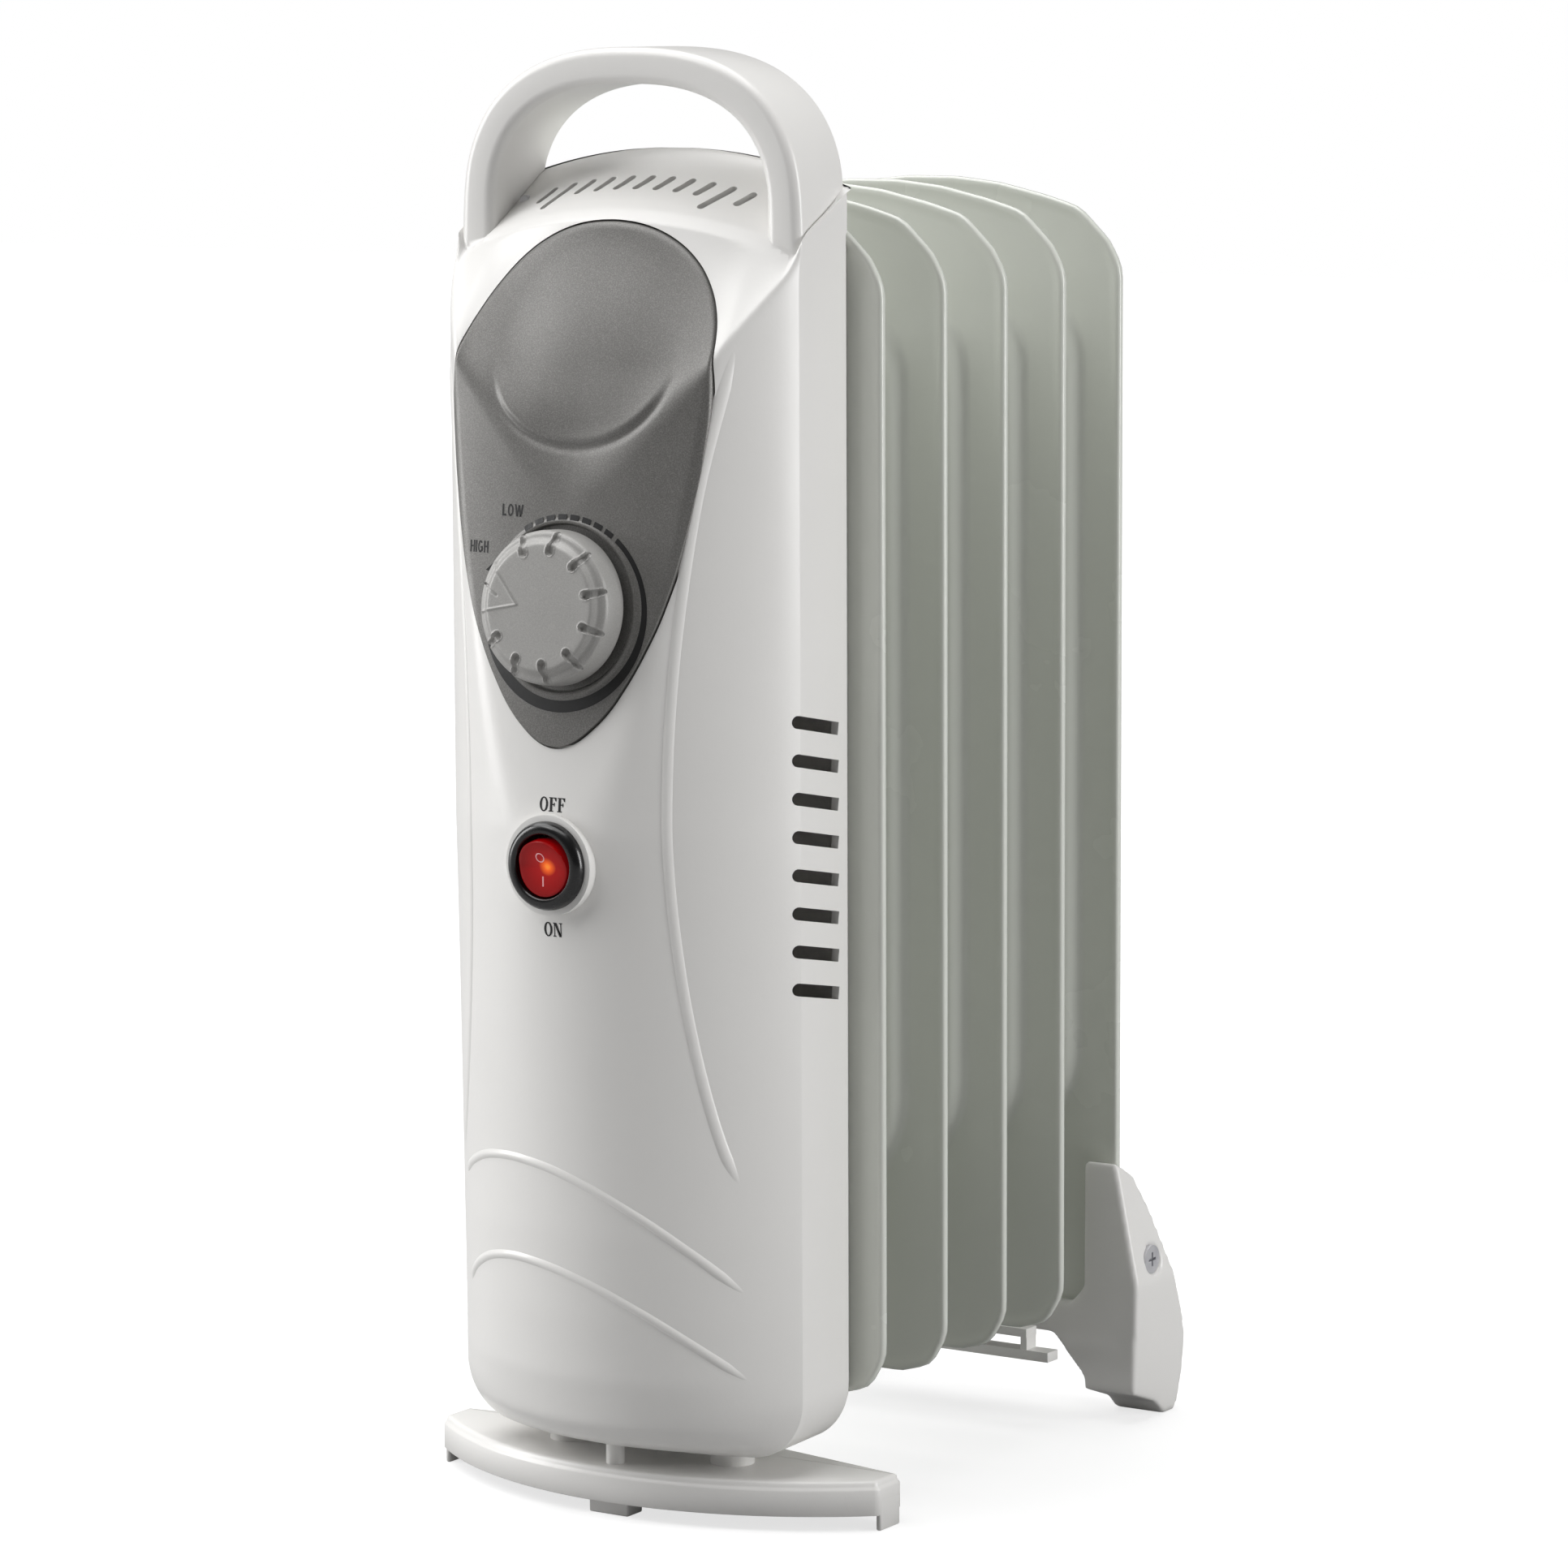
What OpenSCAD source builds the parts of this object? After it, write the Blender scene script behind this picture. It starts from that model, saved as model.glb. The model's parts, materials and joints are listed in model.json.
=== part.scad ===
// Compact oil filled radiator heater with five fins.
// X runs across the heater, -Y is its front, Z is up. The origin is on the floor, under the middle of it.

/* [Housing] */
// Width of the housing at its back
housing_w = 104.8; // [98:0.1:128]
// Depth of the housing from its back to the front of its barrel
housing_depth = 61; // [56:0.5:74]
// Depth of the flat sides, behind the barrel
side_depth = 25; // [20:0.5:30]
// How far each side leans outwards over that depth
side_flare = 1.6; // [0:0.1:2.5]
// Height of the ridge on top of the housing
housing_top = 361; // [357:0.5:366]
// Height of the underside of the housing
housing_bottom = 18; // [17:0.5:20]
// Radius of the lower corners of the housing
corner_r = 18; // [8:0.5:24]
// Wall of the moulded parts
wall = 2.2; // [1.6:0.1:3]
// Thickness of the rear cover
cover_t = 2.4; // [1.6:0.1:3]
// Gap between covers that plug into each other
cover_gap = 0.15; // [0.1:0.05:0.4]

/* [Handle] */
// Height of the top of the handle
handle_top = 387.5; // [378:0.5:410]
// Depth of the handle
handle_depth = 24; // [18:0.5:26]
// Thickness of the handle's band
handle_band = 9.5; // [7:0.1:12]
// Height at which the arch of the handle starts
handle_spring = 345; // [340:0.5:348]

/* [Vents] */
// Number of slots on each side
side_slots = 8; // [4:1:9]
// Distance from one side slot to the next
side_slot_pitch = 10; // [8:0.5:12]
// Height of the lowest side slot
side_slot_z = 142.8; // [120:0.5:150]
// Length of a side slot
side_slot_l = 19; // [12:0.5:20]
// Width of a side slot
side_slot_w = 3.4; // [2:0.1:5]
// Slope of the side slots
side_slot_tilt = 10.5; // [0:0.5:15]
// Number of slots on top
top_slots = 11; // [7:2:11]
// Distance from one top slot to the next
top_slot_pitch = 6.3; // [5:0.1:6.8]
// Width of a top slot
top_slot_w = 2.2; // [1.5:0.1:3]

/* [Controls] */
// Height of the knob's centre
knob_z = 244; // [240:0.5:248]
// Diameter of the knob
knob_d = 40.5; // [33:0.5:48.6]
// Height of the knob
knob_h = 9.4; // [8:0.1:12]
// Diameter of the thermostat's shaft
shaft_d = 6; // [5:0.1:7.2]
// Play around the thermostat's shaft
shaft_play = 0.05; // [0.02:0.01:0.1]
// How far the grey panel stands proud of the housing
panel_proud = 0.8; // [0.4:0.1:1.2]
// Gap around the grey panel
panel_gap = 0.35; // [0.2:0.05:0.6]
// Height of the rocker switch
switch_z = 177.6; // [172:0.5:180]
// Diameter of the switch's round barrel
switch_d = 19.8; // [18.5:0.1:23.8]
// Play of the switch's barrel in its hole
switch_play = 0.1; // [0.05:0.05:0.3]
// Width of the switch's flange beyond its barrel
bezel_rim = 1.75; // [1.2:0.05:2.5]
// Travel of the rocker
rocker_angle = 20; // [16:1:22]

/* [Fins] */
// Width of a fin
fin_w = 122.6; // [102:0.1:148]
// Height of the top of the fins
fin_top = 350; // [340:0.5:354]
// Height of the bottom of the fins
fin_bottom = 30.7; // [30:0.1:36]
// Distance from one fin to the next
fin_pitch = 31; // [27:0.1:37.2]
// Distance from the housing's back to the middle of the first fin
fin_start = 4.6; // [4.4:0.1:6]
// Thickness of the welded rim of a fin
fin_rim_t = 2.4; // [1.6:0.1:2.8]
// Height of the oil channel above the rim, on each side
fin_bulge = 4.6; // [3:0.1:6]
// Width of the flat rim beside the oil channel
fin_flange = 12.5; // [9:0.1:14]
// Wall of the pressed sheet
sheet_t = 1.1; // [0.8:0.1:1.4]
// Outer diameter of the tubes that join the fins
header_d = 34; // [29:0.1:40.8]
// Wall of those tubes
header_wall = 2; // [1.5:0.1:3]
// Diameter of the heating rod
rod_d = 8; // [6.7:0.1:9.6]

/* [Feet] */
// Width of the front foot
front_foot_w = 141.4; // [134:0.1:150]
// Depth of the bow of the front foot
front_foot_bow = 26.3; // [24:0.5:30]
// Width of the plunger of the tip-over switch
plunger_w = 12.5; // [10.5:0.1:15]
// Play of that plunger in its guide
plunger_play = 0.1; // [0.05:0.01:0.2]
// Travel of that plunger
plunger_travel = 5; // [3:0.5:5]
// Depth of the rear foot
rear_foot_depth = 29.3; // [26:0.1:32]
// Diameter of the screws of the rear foot
foot_screw_d = 4; // [3:0.1:4.8]

/* [Hidden] */
$fn = 48;

white = [0.93, 0.93, 0.92];
grey = [0.45, 0.44, 0.43];
enamel = [0.78, 0.80, 0.77];
steel = [0.7, 0.7, 0.72];
brass = [0.8, 0.65, 0.3];
black = [0.08, 0.08, 0.08];

// Housing
half_w = housing_w / 2;
barrel_half_w = half_w + side_flare;
barrel_sagitta = housing_depth - side_depth;
barrel_r = (barrel_half_w ^ 2 + barrel_sagitta ^ 2) / (2 * barrel_sagitta);
barrel_y = barrel_r - housing_depth;
ridge_r = 143;
far = 80;
leg_corner_z = 311.5;
leg_corner_x = 40.6;
leg_corner_back = 9.9;
leg_turn = 77.1;
leg_lean = 61.8;

// Front of the housing in side view, as distances behind the barrel's foremost point
belly_z = 186;
panel_low_z = 208;
crease_z = 275.7;
slope_top_z = 343;
panel_low_y = -housing_depth + 2.9;
crease_y = -housing_depth + 9.7;
slope_top_y = -housing_depth + 30.9;
panel_tilt = atan2(crease_y - panel_low_y, crease_z - panel_low_z);
knob_face_y = panel_low_y + (knob_z - panel_low_z) * tan(panel_tilt);

// Knob and thermostat, measured outwards from the housing's face
shaft_back = -16;
shaft_front = 8.2;
knob_gap = 1.4;
knob_disc_r = knob_d / 2 - 2.8;
knob_step = 2.2;
nut_h = 1.6;
neck_d = shaft_d + 4;
body_front = -wall - 2.4;
body_back = -15.5;

// Rocker switch, measured outwards from its seat on the housing
switch_seat = 0.8;
seat_y = -housing_depth - switch_seat;
bezel_h = 3;
bezel_r = switch_d / 2 + bezel_rim;
rocker_r = switch_d / 2 - 2.5;
rocker_room = 0.8;
rocker_face = bezel_h - 0.6;
rocker_back = 6.6;
pin_d = 2.4;
pin_play = 0.06;
pin_l = 1.4;
cavity_depth = 9.5;
barrel_depth = 19;
contact_y = -cavity_depth + 1.1;
contact_t = 0.8;

// Fins and headers
fin_half = fin_w / 2;
channel_half = fin_half - fin_flange;
channel_rise = 44.3;
channel_drop = 31;
channel_low = fin_bottom + channel_rise;
channel_high = fin_top - channel_drop;
channel_r = 16;
front_bulge = 1.1;
lower_z = channel_low + 24;
upper_z = channel_high - 25;
header_bore = header_d - 2 * header_wall;
fin_count = 5;
last_fin = fin_start + (fin_count - 1) * fin_pitch;

// Cord inlet
gland_d = 13;
gland_y = -14;
gland_z = 62;
gland_bore = 7;

// Front foot
foot_half = front_foot_w / 2;
foot_front = -14;
foot_back = -2.6;
foot_bow_r = (foot_half ^ 2 + front_foot_bow ^ 2) / (2 * front_foot_bow);
foot_bow_y = foot_front - front_foot_bow + foot_bow_r;
foot_top = 13.4;
foot_skirt_z = 4.2;
foot_wall = 2;
pad_t = 1.6;
post_x = 26;
post_y = -16;
post_d = 12;
plunger_depth = 7;
plunger_y = foot_front - front_foot_bow + foot_wall + plunger_depth / 2 + 1.6;
stem_d = 5;

// Rear foot
rear_foot_y = last_fin - 6;
rear_foot_back = rear_foot_y + rear_foot_depth;
slot_gap = 0.2;
leg_out = fin_half + 9.6;
leg_in = fin_half - 8.3;

// The heater stands with the middle of its footprint on the origin
knob_tip_y = knob_face_y - (knob_h + knob_gap) * cos(panel_tilt) - knob_disc_r * sin(panel_tilt);
rocker_tip_y = seat_y - 2 * rocker_r * sin(rocker_angle / 2) - rocker_face * cos(rocker_angle / 2);
front_y = min(knob_tip_y, rocker_tip_y);
centre_y = -(front_y + rear_foot_back) / 2;

module place() {
    translate([0, centre_y, 0])
        children();
}

// Moves to the knob's axis: +Z points out of the panel
module on_panel() {
    translate([0, knob_face_y, knob_z])
        rotate([90 - panel_tilt, 0, 0])
            children();
}

// Moves to the switch's axis: +Z points out of the housing
module on_switch() {
    translate([0, seat_y, switch_z])
        rotate([90, 0, 0])
            children();
}

// Unit normal that points into a counterclockwise outline, for the edge from a to b
function inward(a, b) = let (e = b - a) [-e.y, e.x] / norm(e);

// A counterclockwise outline moved inwards by d
function inset_path(p, d) = let (n = len(p)) [
    for (i = [0 : n - 1])
        let (m = inward(p[(i + n - 1) % n], p[i]), k = inward(p[i], p[(i + 1) % n]))
            p[i] + d * (m + k) / (1 + m * k)];

function arc_points(c, r, from, to, n) = [
    for (i = [0 : n])
        let (a = from + (to - from) * i / n)
            c + r * [cos(a), sin(a)]];

// Upper half of a superellipse, from right to left
function arch_points(w, h, z, power, n) = [
    for (i = [0 : n])
        let (a = 180 * i / n, c = cos(a), s = sin(a))
            [w * sign(c) * abs(c) ^ (2 / power), z + h * s ^ (2 / power)]];

function mirror_path(p) = [for (i = [len(p) - 1 : -1 : 0]) [-p[i].x, p[i].y]];

// A tube along points, for wires and springs
function unit(v) = v / norm(v);
function tangent(p, i) = unit(p[min(i + 1, len(p) - 1)] - p[max(i - 1, 0)]);
function tube_ring(c, t, up, r, n) =
    let (u = unit(cross(t, up)), w = cross(u, t))
        [for (i = [0 : n - 1]) c + r * (cos(360 * i / n) * u + sin(360 * i / n) * w)];

module tube(p, d, up, sides = 8) {
    rings = len(p);
    points = [for (i = [0 : rings - 1]) each tube_ring(p[i], tangent(p, i), up, d / 2, sides)];
    walls = [for (i = [0 : rings - 2], k = [0 : sides - 1])
        let (a = i * sides, m = (k + 1) % sides)
            [a + k, a + m, a + sides + m, a + sides + k]];
    start = [for (k = [sides - 1 : -1 : 0]) k];
    end = [for (k = [0 : sides - 1]) (rings - 1) * sides + k];
    polyhedron(concat(points), concat(walls, [start], [end]), convexity = 8);
}

// A smooth route through points chosen by hand
function route_point(p, i, t) = let (
    n = len(p) - 1, a = p[max(i - 1, 0)], b = p[i], c = p[i + 1], d = p[min(i + 2, n)])
        0.5 * (2 * b + (c - a) * t + (2 * a - 5 * b + 4 * c - d) * t ^ 2
            + (3 * b - a - 3 * c + d) * t ^ 3);
function route(p, steps) = [
    for (i = [0 : len(p) - 2], k = [0 : steps - 1]) route_point(p, i, k / steps), p[len(p) - 1]];

// The housing's shape in plan: straight sides in front of which lies a round barrel
module plan_shape(inset) {
    intersection() {
        polygon(inset_path([
            [half_w - side_flare * 10 / side_depth, 10],
            [-half_w + side_flare * 10 / side_depth, 10],
            [-half_w - side_flare * far / side_depth, -far],
            [half_w + side_flare * far / side_depth, -far]], inset));
        translate([0, barrel_y])
            circle(barrel_r - inset, $fn = 96);
    }
}

// The housing's shape from the side, as [y, z], with its back at the given y
function side_profile(back) = let (f = -housing_depth, b = housing_bottom, t = housing_top) [
    [back, b], [back, t], [-4, t - 0.7], [-9, t - 4.5], [-16, t - 9.5], [-24, t - 14],
    [slope_top_y, slope_top_z], [crease_y, crease_z], [panel_low_y, panel_low_z],
    [f, belly_z], [f + 1.3, 160], [f + 4, 100], [f + 5, 79], [f + 7, b + 39], [f + 9, b + 22],
    [f + 12.5, b + 10], [f + 19, b + 2], [f + 28, b]];

// The housing's shape from the front: arched on top, round at its lower corners
function front_profile(w) = let (r = corner_r, a = asin(w / ridge_r), b = housing_bottom) concat(
    arc_points([w - r, b + r], r, -90, 0, 8),
    arc_points([0, housing_top - ridge_r], ridge_r, 90 - a, 90 + a, 12),
    arc_points([-w + r, b + r], r, 180, 270, 8));

module half_space(side, inset) {
    mirror([side > 0 ? 0 : 1, 0, 0])
        translate([leg_corner_x, slope_top_y - leg_corner_back, leg_corner_z])
            rotate([0, leg_lean, -leg_turn])
                translate([-400, -400, -800 - inset])
                    cube(800);
}

module envelope(inset, back) {
    intersection() {
        translate([0, 0, -10])
            linear_extrude(500)
                plan_shape(inset);
        rotate([90, 0, 90])
            translate([0, 0, -far])
                linear_extrude(2 * far)
                    polygon(inset_path(side_profile(back + inset), inset));
        translate([0, 20, 0])
            rotate([90, 0, 0])
                linear_extrude(2 * far)
                    polygon(inset_path(front_profile(barrel_half_w + 0.1), inset));
        half_space(1, inset);
        half_space(-1, inset);
    }
}

function handle_outer() = concat(
    [[half_w, 300]], arch_points(half_w, handle_top - handle_spring, handle_spring, 2.45, 36),
    [[-half_w, 300]]);
function handle_inner() = let (w = half_w - handle_band, h = handle_top - handle_spring) concat(
    [[w, 290]], arch_points(w, h - handle_band, handle_spring, 2.45, 36), [[-w, 290]]);

// The handle is an upright arch, drawn with its band thinned by inset on all sides
module handle_arch(inset, back) {
    translate([0, back, 0])
        rotate([90, 0, 0])
            linear_extrude(handle_depth - inset + back)
                difference() {
                    polygon(inset_path(handle_outer(), inset));
                    polygon(inset_path(handle_inner(), -inset));
                }
}

module housing_solid(inset, back) {
    envelope(inset, back);
    intersection() {
        handle_arch(inset, back);
        translate([-far, -far, 320])
            cube(2 * far);
    }
}

module side_slot() {
    cube([2 * wall + 8, side_slot_l, side_slot_w], center = true);
    translate([0, -side_slot_l / 2, 0])
        rotate([0, 90, 0])
            cylinder(h = 2 * wall + 8, d = side_slot_w, center = true);
}

module side_vents() {
    for (side = [-1, 1], i = [0 : side_slots - 1])
        translate([side * half_w, -side_depth / 2 - 2.5, side_slot_z + i * side_slot_pitch])
            rotate([-side_slot_tilt, 0, 0])
                side_slot();
}

module top_vents() {
    for (i = [0 : top_slots - 1]) {
        k = i - (top_slots - 1) / 2;
        long = (i == 1 || i == top_slots - 2) ? 11 : 6.5;
        translate([k * top_slot_pitch, -16 + abs(k) * 0.35, slope_top_z - 8])
            rotate([0, 0, -14])
                linear_extrude(40) {
                    square([top_slot_w, long - top_slot_w], center = true);
                    translate([0, long / 2 - top_slot_w / 2])
                        circle(d = top_slot_w);
                    translate([0, -long / 2 + top_slot_w / 2])
                        circle(d = top_slot_w);
                }
    }
}

// Outline of the grey panel: round above, pointed below
panel_right = [[8.3, 211], [16, 218], [23.1, 229], [28.8, 240.6], [33.2, 253.6], [36.6, 271.7],
    [38.4, 284.7], [40.5, 297.5], [40.6, 311.5], [37, 322], [31, 331], [23, 337.5], [12, 341.7]];
module panel_outline(grow) {
    outline = concat([[0, 207.5]], panel_right, [[0, slope_top_z]], mirror_path(panel_right));
    translate([0, -side_depth - 2, 0])
        rotate([90, 0, 0])
            linear_extrude(far)
                polygon(inset_path(outline, -grow));
}

screw_spots = [[-36, 44], [36, 44], [-40, 347], [40, 347]];
stud_spots = [[-36, 80], [36, 80], [-36, 270], [36, 270]];

module at_spots(spots, y) {
    for (spot = spots)
        translate([spot.x, y, spot.y])
            rotate([90, 0, 0])
                children();
}

module front_cover() {
    color(white) place() {
        difference() {
            union() {
                housing_solid(0, 0);
                on_switch()
                    translate([0, 0, -4])
                        cylinder(h = 4, d = 2 * bezel_r + 3.4);
            }
            housing_solid(wall, 5);
            side_vents();
            top_vents();
            panel_outline(panel_gap);
            on_switch()
                translate([0, 0, -12])
                    cylinder(h = 20, d = switch_d + 2 * switch_play);
            translate([-plunger_w / 2 - 1, plunger_y - plunger_depth / 2 - 1, 10])
                cube([plunger_w + 2, plunger_depth + 2, 14]);
            for (side = [-1, 1])
                translate([side * post_x, post_y, 10])
                    cylinder(h = 20, d = foot_screw_d + 0.4);
            translate([-half_w - 5, gland_y, gland_z])
                rotate([0, 90, 0])
                    cylinder(h = 20, d = gland_d);
        }
        cover_bosses();
    }
}

// Bosses inside the housing that take the screws of the rear cover and of the foot
module cover_bosses() {
    difference() {
        intersection() {
            at_spots(screw_spots, -cover_t - cover_gap)
                cylinder(h = 60, d = 8);
            envelope(wall - 0.3, 0);
        }
        at_spots(screw_spots, 0)
            cylinder(h = 16, d = 2.6);
    }
    for (side = [-1, 1])
        translate([side * post_x, post_y, housing_bottom + wall - 0.3])
            difference() {
                cylinder(h = 12, d = 9);
                translate([0, 0, -1])
                    cylinder(h = 11, d = foot_screw_d);
            }
}
module rear_cover() {
    color(white) place()
        difference() {
            intersection() {
                housing_solid(wall + cover_gap, 5);
                translate([-far, -cover_t, 0])
                    cube([2 * far, cover_t, 400]);
            }
            translate([0, 5, lower_z])
                rotate([90, 0, 0])
                    cylinder(h = 20, d = header_d + 9);
            at_spots(screw_spots, 5)
                cylinder(h = 20, d = 3.2);
            at_spots(stud_spots, 5)
                cylinder(h = 20, d = 4.4);
        }
}

module cover_screws() {
    color(steel) place()
        at_spots(screw_spots, 0)
            translate([0, 0, -1.9]) {
                cylinder(h = 1.9, d = 6);
                cylinder(h = 15.5, d = 2.6);
            }
}

module control_panel() {
    color(grey) place()
        difference() {
            union() {
                intersection() {
                    difference() {
                        envelope(-panel_proud, 0);
                        envelope(wall, 5);
                    }
                    panel_outline(0);
                }
                intersection() {
                    difference() {
                        envelope(wall, 0);
                        envelope(wall + 1.6, 5);
                    }
                    panel_outline(3.5);
                }
            }
            on_panel() {
                translate([0, 0, -12])
                    cylinder(h = 24, d = neck_d + 0.4);
                translate([0, 0, knob_gap - 1.4])
                    cylinder(h = 10, d = knob_d + 2.4);
            }
        }
}

module thermostat_knob() {
    r = knob_d / 2;
    top = knob_gap + knob_h;
    color(grey) place() on_panel()
        difference() {
            rotate_extrude($fn = 96)
                polygon([[0, knob_gap + 3], [r - 2.4, knob_gap + 3], [r - 2.4, knob_gap], [r - 0.6, knob_gap],
                    [r, knob_gap + 0.8], [r - 1.1, top - knob_step - 0.8], [r - 1.9, top - knob_step],
                    [knob_disc_r + 0.6, top - knob_step + 0.2], [knob_disc_r - 0.6, top], [0, top]]);
            for (i = [0 : 11])
                if (i != 10)
                    rotate([0, 0, -30 * i - 8])
                        translate([0, r - 3.6, top - knob_step - 0.4])
                            cylinder(h = 5, d = 2.2);
            rotate([0, 0, 73])
                translate([-0.4, 8, top - 0.4])
                    cube([0.8, 9, 2]);
            difference() {
                cylinder(h = shaft_front + 0.2, d = shaft_d);
                translate([shaft_d / 2 - 1, -5, -1])
                    cube([5, 10, 20]);
            }
        }
}

module thermostat_shaft() {
    color(steel) place() on_panel()
        difference() {
            translate([0, 0, shaft_back])
                cylinder(h = shaft_front - shaft_back, d = shaft_d - 0.02);
            translate([shaft_d / 2 - 0.99, -5, knob_gap + 3])
                cube([5, 10, 20]);
        }
}

module thermostat_body() {
    bore = shaft_d + 2 * shaft_play;
    color(black) place() on_panel()
        difference() {
            union() {
                translate([-14, -11, body_back])
                    cube([28, 22, body_front - body_back]);
                translate([0, 0, body_front - 0.1])
                    cylinder(h = knob_gap + 2.5 - body_front, d = neck_d);
            }
            translate([0, 0, -30])
                cylinder(h = 50, d = bore);
        }
}

module thermostat_nut() {
    color(steel) place() on_panel()
        translate([0, 0, 0.02])
            difference() {
                cylinder(h = nut_h, d = neck_d + 6, $fn = 6);
                translate([0, 0, -1])
                    cylinder(h = 10, d = neck_d);
            }
}

module bimetal_strip() {
    color(brass) place() on_panel() {
        translate([-4, -34, body_back + 2])
            cube([8, 23, 0.8]);
        translate([-4, -34, body_back + 2.8])
            cube([8, 4, 1.2]);
    }
}

// The switch's barrel with the wide rim that clamps on the housing
module switch_body() {
    color(black) place() on_switch()
        difference() {
            union() {
                rotate_extrude($fn = 96)
                    polygon([[0, 0], [bezel_r, 0], [bezel_r, 1.2], [bezel_r - 1, bezel_h - 0.4],
                        [bezel_r - 1.8, bezel_h], [0, bezel_h]]);
                translate([0, 0, -barrel_depth])
                    cylinder(h = barrel_depth + 0.5, d = switch_d);
                for (side = [-1, 1])
                    translate([side * (switch_d / 2 + 0.3) - 0.6, -2, -wall - 7.2])
                        cube([1.2, 4, 5]);
            }
            translate([0, 0, -cavity_depth])
                cylinder(h = 30, r = rocker_r + rocker_room);
            rotate([0, 90, 0])
                cylinder(h = 2 * (rocker_r + rocker_room + pin_l), d = pin_d + 2 * pin_play, center = true);
            for (i = [-1 : 1])
                translate([-2.5, i * 5.5 - 0.5, -barrel_depth - 1])
                    cube([5, 1, barrel_depth - cavity_depth + 2]);
        }
}

module rocker_shape() {
    rise = rocker_r * tan(rocker_angle / 2);
    intersection() {
        translate([0, 0, -20])
            cylinder(h = 40, r = rocker_r);
        rotate([90, 0, 90])
            translate([0, 0, -rocker_r])
                linear_extrude(2 * rocker_r) {
                    polygon([[-rocker_r, 0], [rocker_r, 0], [rocker_r, rocker_face + rise], [0, rocker_face],
                        [-rocker_r, rocker_face + rise]]);
                    intersection() {
                        circle(rocker_back);
                        translate([-far, -2 * far + 0.5])
                            square(2 * far);
                    }
                }
    }
}

module switch_rocker() {
    color("red") place() on_switch()
        rotate([rocker_angle / 2, 0, 0])
            difference() {
                union() {
                    rocker_shape();
                    rotate([0, 90, 0])
                        cylinder(h = 2 * (rocker_r + rocker_room + pin_l - 0.1), d = pin_d, center = true);
                }
                translate([0, 0, -20])
                    cylinder(h = 21, d = 5.4);
            }
}

module switch_contact() {
    color(brass) place() on_switch()
        translate([0, 0, contact_y])
            rotate([-rocker_angle * 0.3, 0, 0]) {
                translate([-2, -5, -contact_t / 2])
                    cube([4, 10, contact_t]);
                rotate([0, 90, 0])
                    cylinder(h = 4, d = 1.4, center = true);
            }
}

module switch_terminals() {
    color(brass) place() on_switch()
        for (i = [-1 : 1])
            translate([-2.4, i * 5.5 - 0.4, -barrel_depth - 7])
                cube([4.8, 0.8, barrel_depth - cavity_depth + 6.4]);
}

// The tip-over switch: its plunger reaches down through the foot to the floor
box_floor = housing_bottom + wall + 2.4;
box_h = 24;
collar_z = box_floor + plunger_travel + 3;
module tip_plunger() {
    color(white) place()
        translate([0, plunger_y, 0]) {
            translate([-plunger_w / 2, -plunger_depth / 2, 0])
                cube([plunger_w, plunger_depth, foot_top - 2]);
            cylinder(h = box_floor + 17, d = stem_d);
            translate([0, 0, collar_z])
                cylinder(h = 1.6, d = stem_d + 4);
        }
}

module tip_switch_body() {
    color(black) place()
        translate([0, plunger_y, box_floor])
            difference() {
                translate([-10, -6.5, 0])
                    cube([20, 18.5, box_h]);
                translate([0, 0, 1.8])
                    cylinder(h = box_h - 3.6, d = stem_d + 5);
                translate([0, 0, -1])
                    cylinder(h = 5, d = stem_d + 2 * plunger_play);
            }
    color(black) place()
        translate([-10, plunger_y + 6, housing_bottom + wall])
            cube([20, 6, box_floor - housing_bottom - wall]);
}

spring_turns = 5;
module tip_spring() {
    low = collar_z + 1.6 + 0.5;
    high = box_floor + box_h - 1.8 - 0.5;
    steps = 14;
    coil = [for (i = [0 : spring_turns * steps])
        let (a = 360 * i / steps, r = stem_d / 2 + 1.2)
            [r * cos(a), plunger_y + r * sin(a), low + (high - low) * i / (spring_turns * steps)]];
    color(steel) place()
        tube(coil, 0.8, [0, 0, 1], 6);
}

// The front foot: a shallow bowed tray, open below, with a thin pad at each end
module foot_plan(inset) {
    intersection() {
        polygon(inset_path([[foot_half, -far], [foot_half, foot_back], [24, 6], [-24, 6],
            [-foot_half, foot_back], [-foot_half, -far]], inset));
        translate([0, foot_bow_y])
            circle(foot_bow_r - inset, $fn = 128);
    }
}

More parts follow.
